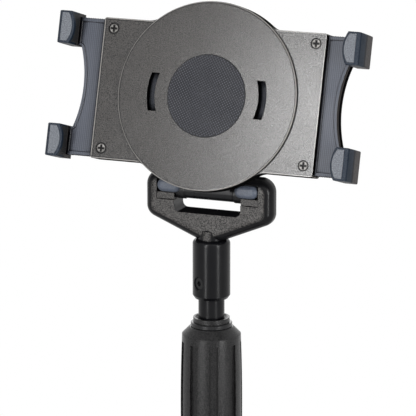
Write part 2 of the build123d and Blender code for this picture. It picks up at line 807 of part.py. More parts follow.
# Bracket: a round hub plate that the holder swivels on, a neck and the hinge barrel
with BuildPart() as hinge_bracket:
    with BuildSketch(face.offset(hub_rear)):
        Circle(hub_plate_radius)
    extrude(amount=hub_plate_thickness)
    with BuildSketch(profile.offset(-neck_half_width)):
        with BuildLine():
            root_front = (-neck_root_offset, hub_front)
            root_back = (-neck_root_offset, hub_rear)
            Polyline(root_back, root_front, barrel_tangent(*root_front, 1),
                     (-centre_rise, -front_depth), barrel_tangent(*root_back, -1), close=True)
        make_face()
    extrude(amount=2 * neck_half_width)
    for side in (-1, 1):
        inner_face = side * (neck_half_width - gusset_thickness)
        back_x, back_y = barrel_tangent(*root_back, -1)
        fall = (hub_rear - back_y) / (back_x + neck_root_offset)
        with BuildSketch(profile.offset(inner_face)):
            with BuildLine():
                Polyline((gusset_reach - neck_root_offset, hub_rear),
                         (-neck_root_offset, hub_rear),
                         (-neck_root_offset - gusset_drop, hub_rear + fall * gusset_drop),
                         close=True)
            make_face()
        extrude(amount=side * gusset_thickness)
    with BuildSketch(axle_side.offset(-barrel_half_length)):
        Circle(barrel_radius)
    extrude(amount=2 * barrel_half_length)
    with BuildSketch(face.offset(hub_rear - overrun)):
        Circle(hub_bore_radius)
    extrude(amount=hub_plate_thickness + 2 * overrun, mode=Mode.SUBTRACT)
    with BuildSketch(axle_side.offset(-barrel_half_length)):
        Circle(axle_radius + slide_gap)
    extrude(amount=2 * barrel_half_length, mode=Mode.SUBTRACT)
    for side in (-1, 1):
        barrel_end = side * barrel_half_length
        with BuildSketch(axle_side.offset(barrel_end)):
            Circle(bush_spigot_radius + running_fit)
        extrude(amount=-side * (bush_spigot_length + seat_gap), mode=Mode.SUBTRACT)
hinge_bracket.part.label = "hinge_bracket"
export_step(hinge_bracket.part, "parts/hinge_bracket.step")

# Friction ring in front of the hub plate, and the wave washer behind it
with BuildPart() as swivel_friction_ring:
    with BuildSketch(face.offset(hub_front + seat_gap)):
        Circle(friction_ring_outer)
        Circle(friction_ring_inner, mode=Mode.SUBTRACT)
    extrude(amount=friction_ring_thickness)
swivel_friction_ring.part.label = "swivel_friction_ring"
export_step(swivel_friction_ring.part, "parts/swivel_friction_ring.step")

with BuildPart() as hub_wave_washer:
    with BuildSketch(face.offset(boss_end + seat_gap)):
        Circle(wave_washer_radius)
        Circle(hub_bore_radius + slide_gap, mode=Mode.SUBTRACT)
    extrude(amount=wave_washer_thickness)
hub_wave_washer.part.label = "hub_wave_washer"
export_step(hub_wave_washer.part, "parts/hub_wave_washer.step")

# Cap that keeps the hub plate on the boss, and its screws
hub_head_seat = boss_end - hub_cap_thickness + hub_screw_head_height + seat_gap
with BuildPart() as hub_cap:
    with BuildSketch(face.offset(boss_end - hub_cap_thickness)):
        Circle(hub_cap_radius)
    extrude(amount=hub_cap_thickness)
    front_way = Axis(face.origin, face.z_dir)
    chamfer(hub_cap.faces().sort_by(front_way)[0].edges(), length=hub_cap_bevel)
    with BuildSketch(face.offset(boss_end - hub_cap_thickness)):
        with PolarLocations(hub_screw_ring_radius, hub_screw_count, start_angle=degrees(pi / 2)):
            Circle(hub_screw_radius + seat_gap)
    extrude(amount=hub_cap_thickness, mode=Mode.SUBTRACT)
    with BuildSketch(face.offset(hub_head_seat)):
        with PolarLocations(hub_screw_ring_radius, hub_screw_count, start_angle=degrees(pi / 2)):
            Circle(hub_screw_head_radius + seat_gap)
    extrude(amount=-hub_cap_thickness, mode=Mode.SUBTRACT)
hub_cap.part.label = "hub_cap"
export_step(hub_cap.part, "parts/hub_cap.step")

with BuildPart() as hub_screws:
    with BuildSketch(face.offset(hub_head_seat - hub_screw_head_height)):
        with PolarLocations(hub_screw_ring_radius, hub_screw_count, start_angle=degrees(pi / 2)):
            Circle(hub_screw_head_radius)
    extrude(amount=hub_screw_head_height)
    with BuildSketch(face.offset(hub_head_seat)):
        with PolarLocations(hub_screw_ring_radius, hub_screw_count, start_angle=degrees(pi / 2)):
            Circle(hub_screw_radius)
    extrude(amount=hub_screw_length)
    with BuildSketch(face.offset(hub_head_seat - hub_screw_head_height)):
        with PolarLocations(hub_screw_ring_radius, hub_screw_count, start_angle=degrees(pi / 2)):
            RegularPolygon(hub_screw_radius, 6)
    extrude(amount=hub_screw_head_height / 2, mode=Mode.SUBTRACT)
hub_screws.part.label = "hub_screws"
export_step(hub_screws.part, "parts/hub_screws.step")

# Outline shared by the two covers: the plate joined to the disc by hollow blends
with BuildSketch() as shell_outline:
    Rectangle(plate_length, plate_height)
    fillet(shell_outline.vertices(), radius=plate_corner)
    Circle(disc_radius)
    meeting = [v for v in shell_outline.vertices()
               if abs(abs(v.Y) - plate_height / 2) < seat_gap and abs(v.X) < disc_radius]
    fillet(meeting, radius=disc_blend)

# Front cover: plate and disc in one moulding, hollow behind for the arms
boss_ceiling = disc_step - disc_wall
with BuildPart() as front_cover:
    with BuildSketch(face.offset(cover_split)):
        add(shell_outline.sketch)
    extrude(amount=-cover_split)
    with BuildSketch(face):
        Circle(disc_radius)
    extrude(amount=disc_step)
    fillet(front_cover.faces().sort_by(front_way)[-1].edges(), radius=disc_bevel)
    with BuildSketch(face.offset(cover_split)):
        Rectangle(plate_length + overrun, 2 * channel_half)
    extrude(amount=-front_wall - cover_split, mode=Mode.SUBTRACT)
    with BuildSketch(face.offset(-front_wall)):
        Circle(disc_radius - disc_wall)
        Circle(pad_radius + front_wall, mode=Mode.SUBTRACT)
        Rectangle(plate_length, 2 * channel_half, mode=Mode.INTERSECT)
    extrude(amount=boss_ceiling + front_wall, mode=Mode.SUBTRACT)
    for side in (-1, 1):
        with BuildSketch(face.offset(cover_split)):
            Circle(disc_radius - disc_wall)
            with Locations((0, side * (channel_half + divider_wall + disc_radius / 2))):
                Rectangle(2 * disc_radius, disc_radius, mode=Mode.INTERSECT)
            with GridLocations(rib_spacing, disc_radius, rib_count, 1):
                Rectangle(rib_thickness, 2 * disc_radius, mode=Mode.SUBTRACT)
        extrude(amount=boss_ceiling - cover_split, mode=Mode.SUBTRACT)
    with BuildSketch(face):
        Circle(slot_outer_radius)
        Circle(slot_inner_radius, mode=Mode.SUBTRACT)
        Rectangle(2 * slot_outer_radius, slot_height, mode=Mode.INTERSECT)
    extrude(amount=disc_step + overrun, mode=Mode.SUBTRACT)
    with BuildSketch(face.offset(disc_step - pad_recess)):
        Circle(pad_radius + seat_gap)
    extrude(amount=pad_recess + overrun, mode=Mode.SUBTRACT)
    with BuildSketch(face.offset(-front_wall)):
        with GridLocations(2 * cover_screw_x, 2 * cover_screw_y, 2, 2):
            Circle(cover_screw_radius + seat_gap)
    extrude(amount=front_wall, mode=Mode.SUBTRACT)
    with BuildSketch(face.offset(-cover_screw_head_drop - cover_screw_head_height)):
        with GridLocations(2 * cover_screw_x, 2 * cover_screw_y, 2, 2):
            Circle(cover_screw_head_radius + slide_gap)
    extrude(amount=front_wall, mode=Mode.SUBTRACT)
front_cover.part.label = "front_cover"
export_step(front_cover.part, "parts/front_cover.step")

# Back cover: floor, side walls, lids behind the disc, posts, gear pin and swivel boss
with BuildPart() as back_cover:
    back_top = cover_split - seat_gap
    with BuildSketch(face.offset(-holder_depth)):
        Rectangle(plate_length, plate_height)
        fillet(vertices(), radius=plate_corner)
    extrude(amount=back_top + holder_depth)
    with BuildSketch(face.offset(back_top - back_wall)):
        add(shell_outline.sketch)
    extrude(amount=back_wall)
    with BuildSketch(face.offset(shell_floor)):
        Rectangle(plate_length + overrun, 2 * channel_half)
    extrude(amount=back_top - shell_floor, mode=Mode.SUBTRACT)
    with BuildSketch(face.offset(shell_floor)):
        with GridLocations(2 * cover_screw_x, 2 * cover_screw_y, 2, 2):
            Circle(cover_post_radius)
        Circle(gear_pin_radius)
    extrude(amount=-front_wall - seat_gap - shell_floor)
    with BuildSketch(face.offset(-holder_depth)):
        Circle(hub_bore_radius - running_fit)
    extrude(amount=-hub_boss_length)
    screw_seat = -cover_screw_head_drop - cover_screw_head_height
    with BuildSketch(face.offset(screw_seat)):
        with GridLocations(2 * cover_screw_x, 2 * cover_screw_y, 2, 2):
            Circle(cover_screw_radius + seat_gap)
    extrude(amount=-cover_screw_length - seat_gap, mode=Mode.SUBTRACT)
    with BuildSketch(face.offset(boss_end)):
        with PolarLocations(hub_screw_ring_radius, hub_screw_count, start_angle=degrees(pi / 2)):
            Circle(hub_screw_radius + seat_gap)
    screw_reach = hub_head_seat + hub_screw_length - boss_end
    extrude(amount=screw_reach + seat_gap, mode=Mode.SUBTRACT)
back_cover.part.label = "back_cover"
export_step(back_cover.part, "parts/back_cover.step")

# Rubber friction pad in the middle of the disc
with BuildPart() as grip_pad:
    with BuildSketch(face.offset(disc_step - pad_recess)):
        Circle(pad_radius)
    extrude(amount=pad_thickness)
    fillet(grip_pad.faces().sort_by(front_way)[-1].edges(), radius=pad_edge)
grip_pad.part.label = "grip_pad"
export_step(grip_pad.part, "parts/grip_pad.step")

# Cross-head screws that close the covers
with BuildPart() as cover_screws:
    with BuildSketch(face.offset(screw_seat)):
        with GridLocations(2 * cover_screw_x, 2 * cover_screw_y, 2, 2):
            Circle(cover_screw_head_radius)
    extrude(amount=cover_screw_head_height)
    with BuildSketch(face.offset(screw_seat)):
        with GridLocations(2 * cover_screw_x, 2 * cover_screw_y, 2, 2):
            Circle(cover_screw_radius)
    extrude(amount=-cover_screw_length)
    with BuildSketch(face.offset(-cover_screw_head_drop)):
        with GridLocations(2 * cover_screw_x, 2 * cover_screw_y, 2, 2):
            Rectangle(cross_recess_length, cross_recess_width)
            Rectangle(cross_recess_width, cross_recess_length)
    extrude(amount=-cross_recess_depth, mode=Mode.SUBTRACT)
cover_screws.part.label = "cover_screws"
export_step(cover_screws.part, "parts/cover_screws.step")

# Tooth sizes of the gear and its racks, measured on the pitch circle and pitch line
addendum = gear_module * gear_addendum_share
root_depth = gear_module * gear_root_share
rack_pitch = pi * gear_module
half_tooth = (rack_pitch - gear_backlash) / 4
flank_lean = tan(radians(gear_pressure_angle))


def involute(angle):
    """Difference between the tangent of an angle and the angle itself."""
    return tan(angle) - angle


def gear_outline():
    """Points round the gear, with each flank on the involute of the base circle."""
    pressure = radians(gear_pressure_angle)
    base = gear_radius * cos(pressure)
    tip = gear_radius + addendum
    points = []
    for tooth in range(gear_teeth):
        middle = pi / 2 + 2 * pi * tooth / gear_teeth
        flank = []
        for step in range(flank_steps + 1):
            radius = base + (tip - base) * step / flank_steps
            slope = sqrt((radius / base) ** 2 - 1)
            half = half_tooth / gear_radius + involute(pressure) - slope + atan(slope)
            flank.append((radius, half))
        foot = (gear_radius - root_depth, flank[0][1])
        side = [foot] + flank
        for radius, half in side:
            points.append((radius * cos(middle - half), radius * sin(middle - half)))
        for radius, half in reversed(side):
            points.append((radius * cos(middle + half), radius * sin(middle + half)))
    return points


def rack_outline():
    """Points of the rack tongue in the arm's own frame, tip first, teeth towards the gear."""
    root = gear_radius + root_depth
    tip = gear_radius - addendum
    wide = half_tooth + root_depth * flank_lean
    narrow = half_tooth - addendum * flank_lean
    last = int((tongue_reach - wide) / rack_pitch - 1 / 2)
    points = [(-tongue_reach, gear_radius + tongue_width), (-tongue_reach, root)]
    for tooth in range(-last - 1, 3):
        middle = (tooth + 1 / 2) * rack_pitch
        points += [(middle - wide, root), (middle - narrow, tip),
                   (middle + narrow, tip), (middle + wide, root)]
    points += [(arm_full_start, root), (arm_full_start, gear_radius + tongue_width)]
    return points


# Gear that keeps the two arms centred, turning on the back cover's pin
with BuildPart() as sync_gear:
    with BuildSketch(face.offset(shell_floor + seat_gap)):
        with BuildLine():
            Polyline(*gear_outline(), close=True)
        make_face()
        Circle(gear_pin_radius + running_fit, mode=Mode.SUBTRACT)
    extrude(amount=layer_rear - gear_gap - shell_floor - seat_gap)
sync_gear.part.label = "sync_gear"
export_step(sync_gear.part, "parts/sync_gear.step")


def edge_teeth(side):
    """Saw teeth along one long edge of an arm, from the hook end inwards."""
    count = int((edge_tooth_end - edge_tooth_start) / edge_tooth_pitch)
    points = []
    for tooth in range(count):
        start = edge_tooth_end - tooth * edge_tooth_pitch
        points += [(start, side * arm_half),
                   (start - edge_tooth_pitch / 2, side * (arm_half - edge_tooth_depth))]
    return points + [(edge_tooth_end - count * edge_tooth_pitch, side * arm_half)]


# Sliding arms: a toothed plate in front, rails, ribs and a rack tongue behind
arm_inner_end = gear_pin_radius + arm_end_gap
arm_outer_end = hook_inner - seat_gap
edge_low = arm_half - edge_tooth_depth
waist_rise = arm_waist_shoulder - arm_waist
waist_radius = (arm_ear_low ** 2 + waist_rise ** 2) / (2 * waist_rise)
slot_half = cover_post_radius + arm_slot_gap
rail_inner = cover_screw_y - slot_half - arm_slot_wall
for name, plane in arm_planes.items():
    with BuildPart() as arm:
        with BuildSketch(plane.offset(layer_rear)):
            with BuildLine():
                Polyline((arm_waist_shoulder, -arm_ear_low), (arm_outer_end, -arm_ear_low),
                         (arm_outer_end, -arm_half), *edge_teeth(-1),
                         (arm_inner_end, -arm_half), (arm_inner_end, arm_half),
                         *reversed(edge_teeth(1)), (arm_outer_end, arm_half),
                         (arm_outer_end, arm_ear_low), (arm_waist_shoulder, arm_ear_low))
                ThreePointArc((arm_waist_shoulder, arm_ear_low), (arm_waist, 0),
                              (arm_waist_shoulder, -arm_ear_low))
            make_face()
        extrude(amount=arm_front_layer)
        with BuildSketch(plane.offset(arm_rear)):
            with BuildLine():
                Polyline((arm_waist_shoulder, -arm_ear_low), (arm_outer_end, -arm_ear_low),
                         (arm_outer_end, -edge_low), (arm_full_start, -edge_low),
                         (arm_full_start, edge_low), (arm_outer_end, edge_low),
                         (arm_outer_end, arm_ear_low), (arm_waist_shoulder, arm_ear_low))
                ThreePointArc((arm_waist_shoulder, arm_ear_low), (arm_waist, 0),
                              (arm_waist_shoulder, -arm_ear_low))
            make_face()
            for side in (-1, 1):
                with BuildLine():
                    Polyline((arm_inner_end, side * rail_inner), (arm_full_start, side * rail_inner),
                             (arm_full_start, side * edge_low), (arm_inner_end, side * edge_low),
                             close=True)
                make_face()
                with BuildLine():
                    low = side * (arm_rib_place - arm_rib_width / 2)
                    high = side * (arm_rib_place + arm_rib_width / 2)
                    Polyline((arm_rib_inner, low), (arm_full_start, low),
                             (arm_full_start, high), (arm_rib_inner, high), close=True)
                make_face()
            with BuildLine():
                root = gear_radius + root_depth
                Polyline((arm_rib_inner, root), (arm_full_start, root),
                         (arm_full_start, gear_radius + tongue_width),
                         (arm_rib_inner, gear_radius + tongue_width), close=True)
            make_face()
        extrude(amount=layer_rear - arm_rear)
        with BuildSketch(plane.offset(arm_rear)):
            with BuildLine():
                Polyline(*rack_outline(), close=True)
            make_face()
        extrude(amount=tongue_front - arm_rear)
        # Tabs that carry the hooks
        for side in (-1, 1):
            with BuildSketch(plane.offset(arm_rear)):
                with BuildLine():
                    near = side * (arm_ear_low + tab_side_gap)
                    far = side * (arm_half - tab_side_gap)
                    Polyline((arm_waist_shoulder, near), (tab_outer, near), (tab_outer, far),
                             (arm_waist_shoulder, far), close=True)
                make_face()
            extrude(amount=arm_front - arm_rear - panel_depth)
        # Long slots that the covers' posts stand in, which also stop the arm
        with BuildSketch(plane.offset(arm_rear)):
            with Locations(*[(cover_screw_x - arm_travel / 2, side * cover_screw_y)
                             for side in (-1, 1)]):
                SlotCenterToCenter(arm_travel, 2 * slot_half)
        extrude(amount=arm_depth, mode=Mode.SUBTRACT)
        # Shallow panel in the front face
        with BuildSketch(plane.offset(arm_front - panel_depth)):
            with BuildLine():
                inset = panel_border
                Polyline((arm_waist_shoulder - inset, -arm_ear_low),
                         (arm_outer_end - inset, -arm_ear_low - inset),
                         (arm_outer_end - inset, -edge_low + inset),
                         (panel_start, -edge_low + inset), (panel_start, edge_low - inset),
                         (arm_outer_end - inset, edge_low - inset),
                         (arm_outer_end - inset, arm_ear_low + inset),
                         (arm_waist_shoulder - inset, arm_ear_low))
                ThreePointArc((arm_waist_shoulder - inset, arm_ear_low),
                              (arm_waist - inset, 0),
                              (arm_waist_shoulder - inset, -arm_ear_low))
            make_face()
        extrude(amount=panel_depth, mode=Mode.SUBTRACT)
        # Groove along the hollow side
        with BuildSketch(plane.offset(arm_front - side_groove_place)):
            with Locations((arm_waist + waist_radius, 0)):
                Circle(waist_radius + side_groove_depth)
            Rectangle(2 * hook_outer, 2 * (arm_ear_low - side_groove_width),
                      mode=Mode.INTERSECT)
        extrude(amount=side_groove_width, mode=Mode.SUBTRACT)
    arm.part.label = f"{name}_arm"
    export_step(arm.part, f"parts/{name}_arm.step")

# Hooks that hold the tablet's short sides, one on each tab
for name, plane in arm_planes.items():
    for side in (-1, 1):
        place = "upper" if side * plane.y_dir.Z > 0 else "lower"
        middle = side * (hook_low + hook_high) / 2
        half = (hook_high - hook_low) / 2
        lip_front = hook_front - hook_panel_rise
        section = Plane(origin=plane.origin, x_dir=plane.x_dir, z_dir=-plane.y_dir)
        with BuildPart() as hook:
            with BuildSketch(plane.offset(arm_rear)):
                with Locations(((hook_inner + hook_outer) / 2, middle)):
                    Rectangle(hook_outer - hook_inner, 2 * half)
            extrude(amount=lip_front - arm_rear)
            with BuildSketch(plane.offset(lip_front - hook_lip_thickness)):
                with BuildLine():
                    Polyline((hook_inner, middle - half), (hook_outer, middle - half),
                             (hook_outer, middle + half), (hook_inner, middle + half))
                    ThreePointArc((hook_inner, middle + half),
                                  (hook_inner - hook_lip_reach, middle),
                                  (hook_inner, middle - half))
                make_face()
            extrude(amount=hook_lip_thickness)
            # Side view of the hook, with a round front corner and a swelling outer face
            with BuildSketch(section.offset(-hook_high * 2)):
                with BuildLine():
                    Polyline((hook_outer - hook_bulge_back, arm_rear), (arm_waist, arm_rear),
                             (arm_waist, lip_front), (hook_outer - hook_bulge, lip_front))
                    ThreePointArc((hook_outer - hook_bulge, lip_front),
                                  (hook_outer, hook_bulge_place),
                                  (hook_outer - hook_bulge_back, arm_rear))
                make_face()
                corners = vertices().sort_by_distance((hook_outer - hook_bulge, lip_front))
                fillet(corners[0], radius=hook_front_round)
            extrude(amount=4 * hook_high, mode=Mode.INTERSECT)
            # Rounded rims: both side faces from the lip round to the back, and the lip's curve
            rims = ShapeList()
            for edge in hook.edges():
                spot = plane.to_local_coords(edge.center())
                beside = abs(abs(spot.Y - middle) - half) < seat_gap
                outside = spot.X > hook_inner + seat_gap and spot.Z > arm_rear + seat_gap
                curve = spot.X < hook_inner and abs(spot.Z - lip_front) < seat_gap
                if beside and outside or curve:
                    rims.append(edge)
            fillet(rims, radius=hook_edge)
            with BuildSketch(plane.offset(lip_front - hook_edge)):
                with BuildLine():
                    near = hook_inner + hook_panel_inset
                    far = hook_outer - hook_bulge - hook_front_round
                    Polyline((near, middle - half + hook_panel_inset),
                             (far, middle - half + hook_panel_inset),
                             (far, middle + half - hook_panel_inset),
                             (near, middle + half - hook_panel_inset))
                    ThreePointArc((near, middle + half - hook_panel_inset),
                                  (hook_inner - hook_lip_reach + hook_panel_inset, middle),
                                  (near, middle - half + hook_panel_inset))
                make_face()
            extrude(amount=hook_edge + hook_panel_rise)
            with BuildSketch(plane.offset(arm_rear)):
                with BuildLine():
                    near = side * (arm_ear_low + tab_side_gap - seat_gap)
                    far = side * (arm_half - tab_side_gap + seat_gap)
                    Polyline((arm_waist, near), (tab_outer + seat_gap, near),
                             (tab_outer + seat_gap, far), (arm_waist, far), close=True)
                make_face()
            extrude(amount=arm_front - arm_rear - panel_depth + seat_gap, mode=Mode.SUBTRACT)
        hook.part.label = f"{name}_{place}_hook"
        export_step(hook.part, f"parts/{name}_{place}_hook.step")
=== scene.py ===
# %% [markdown]
# # A tablet floor stand, seen from its holder down to the twist grip
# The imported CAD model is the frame: every piece is already at its real place and size.
# This script gives each piece its finish, adds the fine relief that is too small for the
# CAD model, and sets up a plain studio round it. Everything is in metres.

import json
import math

import bmesh
import bpy
from mathutils import Matrix, Vector


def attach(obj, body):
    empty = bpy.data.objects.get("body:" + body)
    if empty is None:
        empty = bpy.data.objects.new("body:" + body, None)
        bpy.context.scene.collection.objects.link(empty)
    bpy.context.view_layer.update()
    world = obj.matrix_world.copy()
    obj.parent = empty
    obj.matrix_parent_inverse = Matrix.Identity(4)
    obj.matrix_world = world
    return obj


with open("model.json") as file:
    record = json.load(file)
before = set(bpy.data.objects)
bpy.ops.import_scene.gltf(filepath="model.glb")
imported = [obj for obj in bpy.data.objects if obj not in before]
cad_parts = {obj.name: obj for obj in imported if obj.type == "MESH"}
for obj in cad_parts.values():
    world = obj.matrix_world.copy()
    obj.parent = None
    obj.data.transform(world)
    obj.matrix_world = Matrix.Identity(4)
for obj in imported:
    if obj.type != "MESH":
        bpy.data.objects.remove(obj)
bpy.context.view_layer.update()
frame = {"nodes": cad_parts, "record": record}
nodes = frame["nodes"]
joints = {joint["name"]: joint for joint in frame["record"]["behaviour"]["joints"]}
print("CAD pieces:", len(nodes))

# %% [markdown]
# ## The two places that everything is measured from
# The tilt axle carries the holder, and the swivel carries its face. Both come from the
# joints, so a change of size in the model is followed here. The holder's own frame has x
# along the plate, y up the plate and z out of its front, with zero on the plate's face.

# %% Tilt axle and holder frame
axle = Vector(joints["tilt"]["pos_m"])
centre = Vector(joints["holder_turn"]["pos_m"])
face_normal = Vector(joints["holder_turn"]["axis"]).normalized()
face_up = face_normal.cross(Vector((1, 0, 0)))
lean = math.asin(face_normal.z)
holder_frame = Matrix((
    (1, face_up.x, face_normal.x, centre.x),
    (0, face_up.y, face_normal.y, centre.y),
    (0, face_up.z, face_normal.z, centre.z),
    (0, 0, 0, 1),
))
print("holder leans back by", round(math.degrees(lean), 1), "degrees")

# %% [markdown]
# ## Camera
# The photograph was taken from a little to the right of the holder and a little above it,
# with a long lens. The two angles, the distance and the focal length were found by matching
# the corners of the plate, the disc, the yoke and the pole. A small shift of the lens puts
# the picture's middle where it is in the photograph.

# %% Camera
VIEW_AZIMUTH = 21.416
VIEW_ELEVATION = 13.499
VIEW_DISTANCE = 2.2236
FOCAL_PIXELS = 3670.4
PHOTO_PIXELS = 416
AIM_PIXEL = (211.47, 188.95)
AIM_HEIGHT = 0.001

camera_data = bpy.data.cameras.new("photo_camera")
camera = bpy.data.objects.new("photo_camera", camera_data)
bpy.context.scene.collection.objects.link(camera)
bpy.context.scene.camera = camera
azimuth = math.radians(VIEW_AZIMUTH)
elevation = math.radians(VIEW_ELEVATION)
aim = Vector((0, 0, axle.z + AIM_HEIGHT))
back = Vector((math.sin(azimuth) * math.cos(elevation),
               -math.cos(azimuth) * math.cos(elevation), math.sin(elevation)))
camera.location = aim + back * VIEW_DISTANCE
camera.rotation_euler = back.to_track_quat("Z", "Y").to_euler()
camera_data.lens = FOCAL_PIXELS / PHOTO_PIXELS * camera_data.sensor_width
camera_data.shift_x = (PHOTO_PIXELS / 2 - AIM_PIXEL[0]) / PHOTO_PIXELS
camera_data.shift_y = (AIM_PIXEL[1] - PHOTO_PIXELS / 2) / PHOTO_PIXELS
camera_data.clip_end = 20.0
print("lens", round(camera_data.lens, 1), "mm")

# %% [markdown]
# ## Studio
# The background is white to the camera and in reflections, while the light that the world
# gives stays low. Two upright strip lamps draw the long highlights on the collar and the
# pole. A soft lamp near the front lights the plate more on its right, and two more fill the
# shaded sides. All stand still while the camera moves.

# %% World
AMBIENT_COLOUR = (0.96, 0.97, 1.0, 1)
AMBIENT_STRENGTH = 0.16


def seen_directly(tree):
    """1 on a ray that shows the surroundings, in the view, in a mirror or through glass."""
    paths = tree.nodes.new("ShaderNodeLightPath")
    seen = paths.outputs["Is Camera Ray"]
    for kind in ("Is Transmission Ray", "Is Glossy Ray"):
        either = tree.nodes.new("ShaderNodeMath")
        either.operation = "MAXIMUM"
        tree.links.new(seen, either.inputs[0])
        tree.links.new(paths.outputs[kind], either.inputs[1])
        seen = either.outputs["Value"]
    return seen


world = bpy.data.worlds.new("studio")
bpy.context.scene.world = world
world.use_nodes = True
world_nodes = world.node_tree.nodes
world_links = world.node_tree.links
world_nodes.clear()
ambient = world_nodes.new("ShaderNodeBackground")
ambient.inputs["Color"].default_value = AMBIENT_COLOUR
ambient.inputs["Strength"].default_value = AMBIENT_STRENGTH
backdrop = world_nodes.new("ShaderNodeBackground")
backdrop.inputs["Color"].default_value = (1, 1, 1, 1)
backdrop.inputs["Strength"].default_value = 1.0
choose = world_nodes.new("ShaderNodeMixShader")
world_out = world_nodes.new("ShaderNodeOutputWorld")
world_links.new(seen_directly(world.node_tree), choose.inputs["Fac"])
world_links.new(ambient.outputs["Background"], choose.inputs[1])
world_links.new(backdrop.outputs["Background"], choose.inputs[2])
world_links.new(choose.outputs["Shader"], world_out.inputs["Surface"])
print("ambient strength", AMBIENT_STRENGTH)


# %% Lamps
def lamp(name, place, target, width, height, power):
    """A soft rectangular lamp at place, in metres, facing target."""
    data = bpy.data.lights.new(name, "AREA")
    data.shape = "RECTANGLE"
    data.size = width
    data.size_y = height
    data.energy = power
    piece = bpy.data.objects.new(name, data)
    bpy.context.scene.collection.objects.link(piece)
    piece.location = place
    facing = Vector(place) - Vector(target)
    piece.rotation_euler = facing.to_track_quat("Z", "Y").to_euler()


lamp("front_lamp", (-0.07, -0.43, 1.085), (0.08, 0, 0.93), 0.08, 0.12, 0.68)
lamp("right_strip", (1.0, -0.52, 0.95), (0, 0, 0.85), 0.1, 0.8, 8.0)
lamp("left_strip", (-0.28, -1.15, 0.85), (0, 0, 0.8), 0.08, 0.7, 6.0)
lamp("key_lamp", (1.0, -1.2, 1.9), (0.06, 0, 0.9), 0.7, 0.7, 2.0)
lamp("rear_lamp", (-0.7, 1.3, 1.6), (0, 0, 0.75), 1.0, 1.0, 10.0)

# %% [markdown]
# ## Floor
# A floor that clips to white would lose the shadow, and a grey one would show an edge. This
# disc is lit like any floor, and where it is seen it also glows a little, so that it ends
# near white. Towards its rim the glow takes over, and the rim melts into the background.

# %% Floor
FLOOR_RADIUS = 1.5
GLOW_FROM = (0.25, 0.4)
GLOW_UP_TO = (1.0, 1.0)

floor_mesh = bmesh.new()
bmesh.ops.create_circle(floor_mesh, cap_ends=True, segments=96, radius=FLOOR_RADIUS)
floor_data = bpy.data.meshes.new("studio_floor")
floor_mesh.to_mesh(floor_data)
floor_mesh.free()
floor = bpy.data.objects.new("studio_floor", floor_data)
bpy.context.scene.collection.objects.link(floor)
floor_material = bpy.data.materials.new("pale_floor")
floor_material.use_nodes = True
tree = floor_material.node_tree
surface = tree.nodes["Principled BSDF"]
surface.inputs["Base Color"].default_value = (0.8, 0.8, 0.79, 1)
surface.inputs["Roughness"].default_value = 0.8
glow = tree.nodes.new("ShaderNodeEmission")
tree.links.new(seen_directly(tree), glow.inputs["Strength"])
near = tree.nodes.new("ShaderNodeTexCoord")
reach = tree.nodes.new("ShaderNodeVectorMath")
reach.operation = "LENGTH"
tree.links.new(near.outputs["Object"], reach.inputs[0])
fade = tree.nodes.new("ShaderNodeMapRange")
fade.inputs["From Min"].default_value, fade.inputs["To Min"].default_value = GLOW_FROM
fade.inputs["From Max"].default_value, fade.inputs["To Max"].default_value = GLOW_UP_TO
tree.links.new(reach.outputs["Value"], fade.inputs["Value"])
blend = tree.nodes.new("ShaderNodeMixShader")
tree.links.new(fade.outputs["Result"], blend.inputs["Fac"])
tree.links.new(surface.outputs["BSDF"], blend.inputs[1])
tree.links.new(glow.outputs["Emission"], blend.inputs[2])
tree.links.new(blend.outputs["Shader"], tree.nodes["Material Output"].inputs["Surface"])
floor_data.materials.append(floor_material)
print("floor radius", FLOOR_RADIUS, "m")

# %% [markdown]
# ## One builder for all finishes
# Nearly every surface here is a moulding with a spark-eroded grain, or lacquered metal, and
# all of them start alike. Object coordinates, turned with the holder where the piece leans,
# feed a fine noise for the grain and a broad one for handling marks. A small class keeps
# that start in one place, and each finish adds only what is its own. The Bevel node rounds
# the look of sharp CAD edges, so that they catch a line of light as moulded edges do. The
# Ambient Occlusion node finds what lies deep in a slot, where hardly any light comes.

# %% Material builder
MOULD_EDGE = 0.0003


